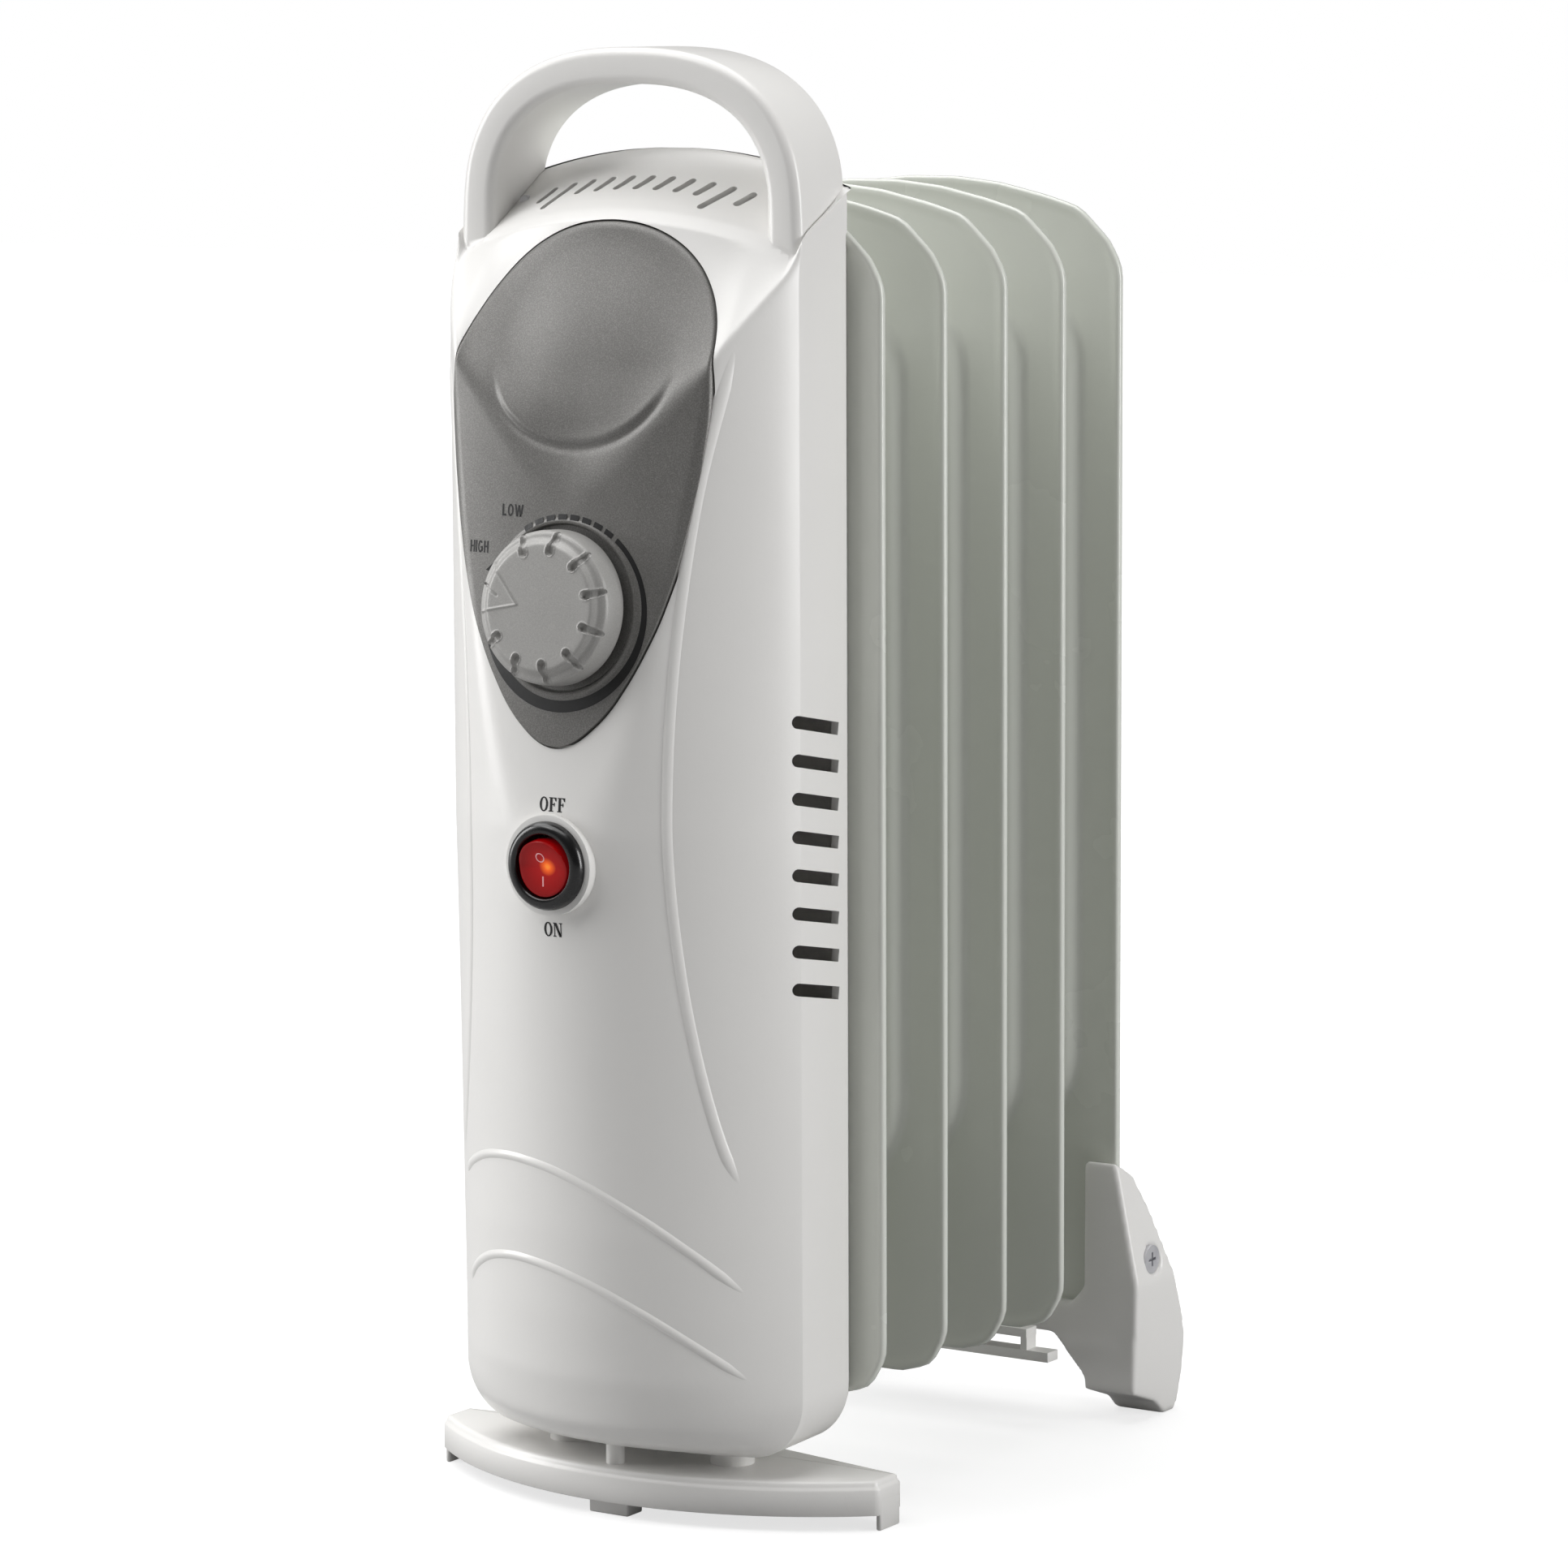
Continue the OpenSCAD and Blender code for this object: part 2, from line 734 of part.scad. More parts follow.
module front_foot() {
    color(white) place()
        difference() {
            union() {
                translate([0, 0, foot_skirt_z])
                    linear_extrude(foot_top - foot_skirt_z - 1.4)
                        foot_plan(0);
                translate([0, 0, foot_top - 1.5])
                    linear_extrude(1.5)
                        foot_plan(1.2);
                for (side = [-1, 1]) {
                    translate([side * (foot_half - pad_t / 2 - 0.3) - pad_t / 2, foot_front + 0.4, 0])
                        cube([pad_t, foot_back - foot_front - 0.8, foot_skirt_z + 4]);
                    translate([side * post_x, post_y, foot_skirt_z])
                        cylinder(h = housing_bottom - foot_skirt_z, d = post_d);
                }
                translate([-plunger_w / 2 - foot_wall, plunger_y - plunger_depth / 2 - foot_wall, foot_skirt_z])
                    cube([plunger_w + 2 * foot_wall, plunger_depth + 2 * foot_wall, foot_top - foot_skirt_z - 1]);
            }
            difference() {
                translate([0, 0, foot_skirt_z - 1])
                    linear_extrude(foot_top - foot_skirt_z + 1 - foot_wall)
                        foot_plan(foot_wall);
                for (side = [-1, 1])
                    translate([side * post_x, post_y, 0])
                        cylinder(h = 40, d = post_d);
                translate([-plunger_w / 2 - foot_wall, plunger_y - plunger_depth / 2 - foot_wall, 0])
                    cube([plunger_w + 2 * foot_wall, plunger_depth + 2 * foot_wall, 40]);
            }
            translate([-plunger_w / 2 - plunger_play, plunger_y - plunger_depth / 2 - plunger_play, 0])
                cube([plunger_w + 2 * plunger_play, plunger_depth + 2 * plunger_play, 40]);
            for (side = [-1, 1])
                translate([side * post_x, post_y, 0]) {
                    cylinder(h = 40, d = foot_screw_d + 0.4);
                    cylinder(h = foot_skirt_z + 4, d = 8.6);
                }
        }
}

module foot_screws() {
    color(steel) place()
        for (side = [-1, 1])
            translate([side * post_x, post_y, foot_skirt_z + 1.6]) {
                cylinder(h = 2.4, d = 7.6);
                cylinder(h = housing_bottom - foot_skirt_z + 9, d = foot_screw_d);
            }
}

// A fin in front view: its upper corners are cut twice, its lower corners once
function fin_outline() = let (
    right = [[fin_half - 14, fin_bottom], [fin_half - 5, fin_bottom + 2.6],
        [fin_half, fin_bottom + 11], [fin_half, fin_top - 24.3], [fin_half - 4, fin_top - 17],
        [fin_half - 13.5, fin_top - 7.9], [fin_half - 24.3, fin_top - 4.8],
        [fin_half - 39.3, fin_top - 1.5], [8, fin_top]])
    concat(right, mirror_path(right));

// The raised oil channel in front view
module channel_shape(inset) {
    w = channel_half - inset;
    low = channel_low + inset;
    high = channel_high - inset;
    r = channel_r - inset;
    polygon(concat(arc_points([w - r, low + r], r, -90, 0, 6), arc_points([w - r, high - r], r, 0, 90, 6),
        arc_points([-w + r, high - r], r, 90, 180, 6), arc_points([-w + r, low + r], r, 180, 270, 6)));
}

// Moves to the middle of a fin: +Z points to the front
module at_fin(i) {
    translate([0, fin_start + i * fin_pitch, 0])
        rotate([90, 0, 0])
            children();
}

module fin(i) {
    front = i == 0 ? front_bulge : fin_bulge;
    half = fin_rim_t / 2;
    color(enamel) place() at_fin(i)
        difference() {
            union() {
                translate([0, 0, -half])
                    linear_extrude(fin_rim_t)
                        polygon(fin_outline());
                translate([0, 0, -half - fin_bulge])
                    linear_extrude(fin_rim_t + fin_bulge + front)
                        channel_shape(2);
                translate([0, 0, -half - fin_bulge * 0.6])
                    linear_extrude(fin_rim_t + fin_bulge * 0.6 + front * 0.6)
                        channel_shape(0);
            }
            translate([0, 0, -half - fin_bulge + sheet_t])
                linear_extrude(fin_rim_t + fin_bulge + front - 2 * sheet_t)
                    channel_shape(3.2);
            for (z = [lower_z, upper_z])
                translate([0, z, -30])
                    cylinder(h = 60, d = header_bore);
        }
}

module fin_1() fin(0);
module fin_2() fin(1);
module fin_3() fin(2);
module fin_4() fin(3);
module fin_5() fin(4);

// Short tubes between neighbouring fins, one set high and one set low
module header_tubes(z) {
    length = fin_pitch - fin_rim_t - 2 * fin_bulge;
    color(enamel) place()
        for (i = [0 : fin_count - 2])
            at_fin(i)
                translate([0, z, -fin_rim_t / 2 - fin_bulge - length])
                    difference() {
                        cylinder(h = length, d = header_d);
                        translate([0, 0, -1])
                            cylinder(h = length + 2, d = header_bore);
                    }
}

module upper_header() header_tubes(upper_z);
module lower_header() header_tubes(lower_z);

// Discs that close the tubes where no fin follows
module header_caps() {
    color(enamel) place() {
        at_fin(0)
            translate([0, upper_z, fin_rim_t / 2 + front_bulge - sheet_t])
                cylinder(h = sheet_t, d = header_bore);
        at_fin(fin_count - 1)
            translate([0, lower_z, -fin_rim_t / 2 - fin_bulge])
                cylinder(h = sheet_t, d = header_bore);
    }
}

module oil_fill_plug() {
    color(steel) place() at_fin(fin_count - 1)
        translate([0, upper_z, -fin_rim_t / 2 - fin_bulge]) {
            cylinder(h = sheet_t, d = header_bore);
            translate([0, 0, -4])
                cylinder(h = 4, d = 13, $fn = 6);
            translate([0, 0, -0.8])
                cylinder(h = 1, d = 17);
        }
}

// The heating rod is bent into a hairpin that lies in the lower tubes
seal_y = fin_start - fin_rim_t / 2 - front_bulge;
gasket_t = 1.2;
flange_t = 5;
rod_gap = rod_d * 7 / 8;
rod_front = seal_y - gasket_t - flange_t - 0.5;
rod_back = last_fin - 12;
module at_rods() {
    for (side = [-1, 1])
        translate([0, 0, lower_z + side * rod_gap])
            children();
}

module heating_element() {
    color(steel) place() {
        at_rods() {
            translate([0, rod_back, 0])
                rotate([90, 0, 0])
                    cylinder(h = rod_back - rod_front, d = rod_d);
            translate([0, rod_back, 0])
                sphere(d = rod_d);
        }
        translate([0, rod_back, lower_z - rod_gap])
            cylinder(h = 2 * rod_gap, d = rod_d);
    }
}

module element_flange() {
    color(steel) place()
        difference() {
            translate([0, seal_y - gasket_t, lower_z])
                rotate([90, 0, 0])
                    cylinder(h = flange_t, d = header_d + 4, $fn = 6);
            at_rods()
                translate([0, 20, 0])
                    rotate([90, 0, 0])
                        cylinder(h = 60, d = rod_d);
        }
}

module element_gasket() {
    color(black) place()
        translate([0, seal_y, lower_z])
            rotate([90, 0, 0])
                difference() {
                    cylinder(h = gasket_t, d = header_d - 1);
                    translate([0, 0, -1])
                        cylinder(h = 5, d = header_bore - 2);
                }
}

module element_terminals() {
    color(brass) place()
        at_rods()
            translate([0, rod_front, 0])
                rotate([90, 0, 0]) {
                    cylinder(h = 4, d = rod_d - 1);
                    cylinder(h = 11, d = 3);
                }
}

module mount_studs() {
    color(steel) place()
        at_spots(stud_spots, seal_y) {
            cylinder(h = seal_y - 0.1, d = 9);
            cylinder(h = 13, d = 4);
        }
}

module stud_nuts() {
    color(steel) place()
        at_spots(stud_spots, -cover_t)
            difference() {
                cylinder(h = 3.2, d = 8.1, $fn = 6);
                translate([0, 0, -1])
                    cylinder(h = 6, d = 4);
            }
}

block_w = 28;
block_h = 14;
block_depth = 12;
block_z = lower_z + 30;
module terminal_block() {
    color(white) place()
        difference() {
            translate([-block_w / 2, -cover_t - block_depth, block_z])
                cube([block_w, block_depth, block_h]);
            for (i = [-1 : 1])
                translate([i * 9, -cover_t - block_depth + 7, block_z + block_h / 2])
                    rotate([90, 0, 0])
                        cylinder(h = 20, d = 4);
        }
}

fuse_x = 26;
fuse_z = block_z + 24;
fuse_d = 4.6;
fuse_l = 16;
fuse_y = -cover_t - 1 - fuse_d / 2;
module thermal_fuse() {
    color(steel) place()
        translate([fuse_x, fuse_y, fuse_z])
            cylinder(h = fuse_l, d = fuse_d);
}

module fuse_clip() {
    color(brass) place() {
        translate([fuse_x - 6, -cover_t - 1, fuse_z + 2])
            cube([12, 1, fuse_l - 4]);
        translate([fuse_x, fuse_y, fuse_z + 5])
            difference() {
                cylinder(h = 6, d = fuse_d + 1.6);
                translate([0, 0, -1])
                    cylinder(h = 8, d = fuse_d);
                translate([-5, -8, -1])
                    cube([10, 6.6, 8]);
                translate([-5, fuse_d / 2, -1])
                    cube([10, 3, 8]);
            }
    }
}

// Internal wiring
wire_d = 2.4;
block_top = block_z + block_h;
blade_y = seat_y + barrel_depth + 7;
thermo_y = knob_face_y - body_back * cos(panel_tilt);
thermo_z = knob_z + body_back * sin(panel_tilt);
pin_y = rod_front - 11;

module wire(points, tint) {
    color(tint) place()
        tube(route(points, 5), wire_d, [1, 0.2, 0.1], 8);
}

module live_wire() wire([[9, -10, block_top], [9, -12, block_top + 8], [6, -20, switch_z - 14],
    [1, -28, switch_z - 4], [0, blade_y, switch_z]], "brown");
module switched_wire() wire([[0, blade_y, switch_z + 5.5], [2, -29, switch_z + 14],
    [8, -27, knob_z - 32], [10, -32, knob_z - 12], [8, thermo_y, thermo_z]], "brown");
module thermostat_wire() wire([[-8, thermo_y, thermo_z], [-9, -32, thermo_z - 10],
    [4, -20, thermo_z - 40], [fuse_x - 4, -10, fuse_z + fuse_l + 14],
    [fuse_x, fuse_y, fuse_z + fuse_l]], "brown");
module element_wire() wire([[fuse_x, fuse_y, fuse_z], [fuse_x, -9, fuse_z - 8], [24, -16, fuse_z - 22],
    [14, -22, lower_z + 16], [4, -20, lower_z + rod_gap + 3], [0, pin_y, lower_z + rod_gap]], "brown");
module neutral_wire() wire([[-9, -10, block_z], [-10, -14, block_z - 6], [-9, -20, lower_z + 12],
    [-4, -22, lower_z], [0, pin_y, lower_z - rod_gap]], "blue");
module earth_wire() wire([[9, -10, block_z], [11, -14, block_z - 6], [14, -13, lower_z + 12],
    [13, -8, lower_z + 2], [12, seal_y - gasket_t - flange_t, lower_z]], "green");

// The bush in the side wall where the lead comes in
module cord_gland() {
    color(black) place()
        translate([-half_w - side_flare, gland_y, gland_z])
            rotate([0, 90, 0])
                difference() {
                    union() {
                        translate([0, 0, -1.4])
                            cylinder(h = 1.4, d = gland_d + 4);
                        translate([0, 0, -1.4])
                            cylinder(h = 10, d = gland_d - 0.2);
                        translate([0, 0, side_flare + wall])
                            cylinder(h = 3, d = gland_d + 4);
                    }
                    translate([0, 0, -20])
                        cylinder(h = 50, d = gland_bore);
                }
}

// The rear foot: two legs joined by a bar, with a slot that takes the edge of the last fin
module leg_side() {
    d = rear_foot_depth;
    polygon([[0, 9], [12.9, 4.5], [d - 11, 0], [d - 4.5, 0], [d - 1, 11.3], [d, 22], [13.8, 60.8],
        [8.3, 70.4], [0, 75]]);
}

module leg_front() {
    polygon([[leg_in + 0.4, -1], [leg_out - 1.4, -1], [leg_out, 40], [leg_out - 7.4, 76],
        [leg_in + 3.2, 76], [leg_in + 0.2, 73.6], [leg_in, 38], [leg_in - 4, 33.5], [leg_in - 10, 33.5],
        [leg_in - 10, 24], [leg_in + 0.4, 12]]);
}

bar_depth = 12;
screw_y = last_fin + 5.3;
screw_z = 46;
module at_leg_screws() {
    for (side = [0, 1])
        mirror([side, 0, 0])
            translate([leg_out, screw_y, screw_z])
                rotate([0, -90, 0])
                    children();
}

module rear_foot() {
    rim = fin_rim_t / 2 + slot_gap;
    color(white) place()
        difference() {
            union() {
                for (side = [0, 1])
                    mirror([side, 0, 0])
                        intersection() {
                            translate([0, rear_foot_back + 1, 0])
                                rotate([90, 0, 0])
                                    linear_extrude(rear_foot_depth + 2)
                                        leg_front();
                            translate([0, rear_foot_y, 0])
                                rotate([90, 0, 90])
                                    linear_extrude(leg_out + 1)
                                        leg_side();
                        }
                translate([-leg_in + 9, rear_foot_y, 24])
                    cube([2 * leg_in - 18, bar_depth, 9.5]);
            }
            translate([-fin_half - slot_gap, last_fin - rim, fin_bottom - slot_gap])
                cube([fin_w + 2 * slot_gap, 2 * rim, 100]);
            at_leg_screws() {
                translate([0, 0, -5])
                    cylinder(h = 9, d = foot_screw_d * 2 + 0.5);
                cylinder(h = 40, d = foot_screw_d + 0.3);
            }
        }
}

module foot_clamps() {
    color(steel) place()
        difference() {
            for (side = [0, 1])
                mirror([side, 0, 0])
                    translate([leg_in - 8, last_fin + fin_rim_t / 2 + 0.05, screw_z - 8])
                        cube([8, 8, 16]);
            at_leg_screws()
                cylinder(h = 40, d = foot_screw_d);
        }
}

module rear_foot_screws() {
    color(steel) place() at_leg_screws()
        difference() {
            translate([0, 0, 1.6]) {
                cylinder(h = 2.4, d = foot_screw_d * 2);
                cylinder(h = leg_out - leg_in + 5, d = foot_screw_d);
            }
            for (turn = [0, 90])
                rotate([0, 0, turn])
                    translate([-2, -0.4, 1])
                        cube([4, 0.8, 1.8]);
        }
}

// Two posts and a bar under the fins, to wind the lead on
cleat_y = rear_foot_y - 17.5;
cleat_half = 52;
cleat_post_x = 44;
module cord_cleat() {
    plate_z = 26;
    color(white) place() {
        translate([-cleat_half, cleat_y, 19.6])
            cube([2 * cleat_half, 5.6, 2.8]);
        for (side = [-1, 1])
            translate([side * cleat_post_x - 1, cleat_y + 0.2, 22.4])
                cube([2, 5.2, plate_z - 22.4]);
        translate([-cleat_post_x - 1, cleat_y, plate_z])
            cube([2 * cleat_post_x + 2, 5.6, 2.4]);
        translate([-30, cleat_y, plate_z])
            cube([60, rear_foot_y - cleat_y, 2.4]);
    }
}

front_cover();
rear_cover();
control_panel();
thermostat_knob();
thermostat_shaft();
thermostat_body();
thermostat_nut();
bimetal_strip();
switch_body();
switch_rocker();
switch_contact();
switch_terminals();
tip_plunger();
tip_switch_body();
tip_spring();
front_foot();
foot_screws();
fin_1();
fin_2();
fin_3();
fin_4();
fin_5();
upper_header();
lower_header();
header_caps();
oil_fill_plug();
heating_element();
element_flange();
element_gasket();
element_terminals();
mount_studs();
stud_nuts();
terminal_block();
thermal_fuse();
fuse_clip();
live_wire();
switched_wire();
thermostat_wire();
element_wire();
neutral_wire();
earth_wire();
cord_gland();
cover_screws();
rear_foot();
foot_clamps();
rear_foot_screws();
cord_cleat();
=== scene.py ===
"""Looks of a compact oil filled radiator heater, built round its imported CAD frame."""
import json
import math

import bpy
import bmesh
import numpy as np
from mathutils import Matrix, Vector

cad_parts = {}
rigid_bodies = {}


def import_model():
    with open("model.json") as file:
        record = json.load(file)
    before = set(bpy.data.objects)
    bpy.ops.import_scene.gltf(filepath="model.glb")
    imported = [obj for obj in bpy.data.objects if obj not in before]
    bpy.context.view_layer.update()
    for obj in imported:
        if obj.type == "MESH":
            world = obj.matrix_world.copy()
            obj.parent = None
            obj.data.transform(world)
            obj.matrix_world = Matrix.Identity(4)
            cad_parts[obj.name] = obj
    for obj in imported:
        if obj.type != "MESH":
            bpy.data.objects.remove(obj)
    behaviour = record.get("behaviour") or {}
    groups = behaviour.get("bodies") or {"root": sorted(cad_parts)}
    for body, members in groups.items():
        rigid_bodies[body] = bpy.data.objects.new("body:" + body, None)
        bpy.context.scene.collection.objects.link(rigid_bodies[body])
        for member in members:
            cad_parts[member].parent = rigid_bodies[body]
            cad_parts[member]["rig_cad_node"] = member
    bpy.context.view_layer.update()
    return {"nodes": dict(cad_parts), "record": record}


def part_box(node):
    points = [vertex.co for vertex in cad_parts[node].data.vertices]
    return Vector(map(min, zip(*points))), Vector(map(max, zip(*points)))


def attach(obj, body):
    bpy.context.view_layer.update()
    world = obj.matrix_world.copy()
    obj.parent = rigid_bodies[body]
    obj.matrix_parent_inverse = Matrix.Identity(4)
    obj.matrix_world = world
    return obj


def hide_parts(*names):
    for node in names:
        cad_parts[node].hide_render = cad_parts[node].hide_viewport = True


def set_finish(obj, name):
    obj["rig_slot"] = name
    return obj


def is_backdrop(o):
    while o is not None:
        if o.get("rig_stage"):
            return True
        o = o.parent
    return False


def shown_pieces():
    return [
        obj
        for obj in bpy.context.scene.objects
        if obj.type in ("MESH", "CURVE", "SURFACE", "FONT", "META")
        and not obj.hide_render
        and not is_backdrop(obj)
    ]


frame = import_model()

MM = 0.001
# Places from the CAD: the housing's back plane and its half width there
REAR_COVER_INSET = 2.35
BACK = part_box("front_cover")[1][1] / MM
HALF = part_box("rear_cover")[1][0] / MM + REAR_COVER_INSET
# Its shape: how far the sides lean out over their depth, the barrel's depth, its lowest and
# highest points, the radius of the lower corners, and how the top falls off to the sides
FLARE = 1.6
SIDE = 25.0
DEPTH = 61.0
LOW = 18.0
RIDGE = 361.0
CORNER = 17.0
TOP_BEND = 286
WALL = 2.2
# The panel's plane goes through this height and depth at its tilt, and is bowed across
PANEL_LOW_Z = 208
PANEL_LOW_Y = -58.1
PANEL_BOW = 0.0022
TILT = math.radians(5.736)
KNOB_Z = 244.0
SWITCH_Z = 177.6
# Turned pieces and the openings cut for them
SWITCH_PAD_R = 13.2
SWITCH_HOLE_R = 10.2
KNOB_R = 20.25


# -------- mesh helpers
def linked(name, data):
    """A new object in the scene for a mesh, a lamp or a camera."""
    ob = bpy.data.objects.new(name, data)
    bpy.context.collection.objects.link(ob)
    return ob


def make(name, verts, faces, body="root", smooth=35.0):
    """A mesh piece from points in millimetres, measured from the housing's back plane."""
    mesh = bpy.data.meshes.new(name)
    pts = (np.asarray(verts, float) + [0, BACK, 0]) * MM
    mesh.from_pydata([tuple(p) for p in pts], [], faces)
    bm = bmesh.new()
    bm.from_mesh(mesh)
    bmesh.ops.remove_doubles(bm, verts=bm.verts, dist=1e-6)
    bmesh.ops.recalc_face_normals(bm, faces=bm.faces)
    bm.to_mesh(mesh)
    bm.free()
    ob = linked(name, mesh)
    soften(ob, smooth)
    if body:
        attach(ob, body)
    return ob


def soften(ob, angle=35.0):
    """Smooth shading, with edges kept sharp above the angle."""
    mesh = ob.data
    bm = bmesh.new()
    bm.from_mesh(mesh)
    for f in bm.faces:
        f.smooth = True
    limit = math.radians(angle)
    for e in bm.edges:
        e.smooth = not (len(e.link_faces) == 2 and e.calc_face_angle(0) > limit)
    bm.to_mesh(mesh)
    bm.free()


def grid_faces(rows, cols, closed=False):
    """Quads between rows of points; closed joins each row's end to its start."""
    faces = []
    for i in range(rows - 1):
        for j in range(cols if closed else cols - 1):
            k = (j + 1) % cols
            faces.append((i * cols + j, i * cols + k, (i + 1) * cols + k, (i + 1) * cols + j))
    return faces


def end_caps(rows, n):
    """The two faces that close a stack of rings."""
    last = (rows - 1) * n
    return [tuple(range(n)), tuple(last + k for k in range(n - 1, -1, -1))]


def prism_faces(n):
    """Sides and ends of a prism whose two outlines have n points each."""
    sides = [(k, (k + 1) % n, n + (k + 1) % n, n + k) for k in range(n)]
    return sides + [tuple(range(n - 1, -1, -1)), tuple(range(n, 2 * n))]


def apply_modifiers(ob):
    """Puts the modifiers' result into the mesh itself."""
    dg = bpy.context.evaluated_depsgraph_get()
    mesh = bpy.data.meshes.new_from_object(ob.evaluated_get(dg))
    ob.modifiers.clear()
    ob.data = mesh


def boolean(ob, cutter, operation="DIFFERENCE"):
    """Cuts with or adds the second mesh, which is used up."""
    mod = ob.modifiers.new("cut", "BOOLEAN")
    mod.object = cutter
    mod.operation = operation
    mod.solver = "EXACT"
    bpy.context.view_layer.update()
    apply_modifiers(ob)
    bpy.data.objects.remove(cutter)


def join(parts):
    """Joins pieces that aren't riding yet into the first one."""
    bm = bmesh.new()
    for p in parts:
        bm.from_mesh(p.data)
    bm.to_mesh(parts[0].data)
    bm.free()
    for p in parts[1:]:
        bpy.data.objects.remove(p)
    return parts[0]


def smooth_max(a, b, r):
    """The larger of two values, rounded where they meet."""
    h = np.clip(0.5 + 0.5 * (a - b) / r, 0, 1)
    return b * (1 - h) + a * h + r * h * (1 - h)


def smoothstep(lo, hi, v):
    """From 0 at the first value to 1 at the second, with soft ends."""
    t = np.clip((np.asarray(v, float) - lo) / (hi - lo), 0, 1)
    return t * t * (3 - 2 * t)


def blurred(xs, ys, at, width):
    """A broken line through the knots, with its corners rounded over the width."""
    steps = np.linspace(-1, 1, 9)
    weights = 1.0 - np.abs(steps) * 0.9
    at = np.asarray(at)
    total = sum(w * np.interp(at + s * width, xs, ys) for s, w in zip(steps, weights))
    return total / weights.sum()


# -------- the housing's surface
def front_line(z):
    """Foremost line of the barrel in side view."""
    knots_z = [LOW - 4, LOW, LOW + 1.2, LOW + 4, LOW + 9, LOW + 22, LOW + 39, 79, 100, 160, 186, 400]
    knots_y = [-28, -30, -38, -44.5, -49, -52.3, -54.2, -56, -57, -59.7, -DEPTH, -DEPTH]
    return blurred(knots_z, knots_y, z, 1.5)


def side_line(z):
    """Half width at the back plane: full height, drawn in round the lower corners."""
    t = np.clip((LOW + CORNER - np.asarray(z, float)) / CORNER, 0, 1)
    return HALF - CORNER * (1 - np.sqrt(np.clip(1 - t * t, 0, 1)))


CREASE_LOW = 275.7
CREASE_SLOPE = 0.98
CREASE_ROUND = 8


def crease_z(x):
    """Height of the crease below the upper slope: a rounded V."""
    ax = np.abs(x)
    arms = CREASE_SLOPE * (np.sqrt(ax ** 2 + CREASE_ROUND ** 2) - CREASE_ROUND)
    return CREASE_LOW + arms + 0.035 * np.clip(ax - 36, 0, None) ** 2


def barrel_y(x, z):
    """Front surface of the barrel, from its chord and its depth at that height."""
    front = front_line(z)
    half = side_line(z) + FLARE
    sag = np.clip(-front - SIDE, 4, None)
    radius = (half ** 2 + sag ** 2) / (2 * sag)
    across = np.minimum(np.abs(x), half)
    return front + radius - np.sqrt(np.clip(radius ** 2 - across ** 2, 0, None))


def lower_y(x, z):
    """The barrel where it is deepest, and the panel's tilted plane above it."""
    plane = PANEL_LOW_Y + (z - PANEL_LOW_Z) * math.tan(TILT) + PANEL_BOW * x * x
    return smooth_max(barrel_y(x, z), plane, 1.2)


# Depth of the slope's upper edge at the middle, and the rounded climb from there to the ridge:
# how far back the surface has gone at each height above the edge
SLOPE_TOP_Y = 30.1
CLIMB = 18.2
CLIMB_AT = [0, 3, 5.5, 9.5, 13.5, 16.5, 17.7, CLIMB]
CLIMB_BACK = [0, 3.4, 7.5, 15, 21.5, 26.3, 28.6, SLOPE_TOP_Y]


def slope_y(x, z):
    """The upper slope from the crease to its top edge, and the rounded shoulder above that."""
    zc = crease_z(x)
    yc = lower_y(x, zc)
    fall = x * x / TOP_BEND
    zt = smooth_max(343 - fall, zc + 5.5, 2.0)
    yt = -SLOPE_TOP_Y + PANEL_BOW * x * x
    run = (yt - yc) / (zt - zc)
    below = yc + run * (z - zc)
    climb = np.clip((z - zt) / np.maximum(RIDGE - fall - zt, 4), 0, 1) * CLIMB
    share = np.interp(climb, CLIMB_AT, CLIMB_BACK) / SLOPE_TOP_Y
    return np.where(z > zt, yt * (1 - share), below)


def front_y(x, z):
    """Depth of the whole front surface."""
    return smooth_max(lower_y(x, z), slope_y(x, z), 1.6)


def ring(z, inset, n, back):
    """One level of the housing: up one flat side, round the front and down the other side."""
    half = float(side_line(z)) - inset
    if z > 345:
        half = min(half, math.sqrt(max(TOP_BEND * (RIDGE - inset - z), 0.04)))
    s = np.linspace(-1, 1, n)
    x = np.sin(s * math.pi / 2) * (half + FLARE)
    arc = front_y(x, np.full(n, z))
    if inset:
        arc = np.maximum(arc + inset, front_y(x, np.full(n, z + inset)) + 0.2)
    side_t = np.linspace(0.08, 1, 12)
    flank = [(half + FLARE * t, max(-SIDE * t, float(arc[-1]))) for t in side_t]
    left = [(-half, back)] + [(-a, b) for a, b in flank]
    front = list(zip(x[1:-1], np.minimum(arc[1:-1], back)))
    return left + front + flank[::-1] + [(half, back)]


def lofted(levels):
    """Vertices and faces of a stack of level rings, closed at both ends."""
    n = len(levels[0][1])
    verts = [(x, y, z) for z, pts in levels for x, y in pts]
    return verts, grid_faces(len(levels), n, closed=True) + end_caps(len(levels), n)


def housing_levels(inset, n, back):
    """Levels of the housing from bottom to ridge, closer together where it curves."""
    low = LOW + inset
    quarter = np.linspace(0, math.pi / 2, 22)
    foot = [low + (CORNER - inset) * (1 - math.cos(a)) for a in quarter]
    middle = list(np.arange(LOW + CORNER + 1.4, 338, 1.4))
    top = list(np.arange(338.4, RIDGE - inset - 0.05, 0.45)) + [RIDGE - inset - 0.03]
    return [(z, ring(z, inset, n, back)) for z in foot + middle + top]


# -------- handle
HANDLE_TOP = 387.5
HANDLE_FOOT = 322
HANDLE_DEPTH = 24.0
SPRING = 345.0
BAND = 9.5
POWER = 2 / 2.45


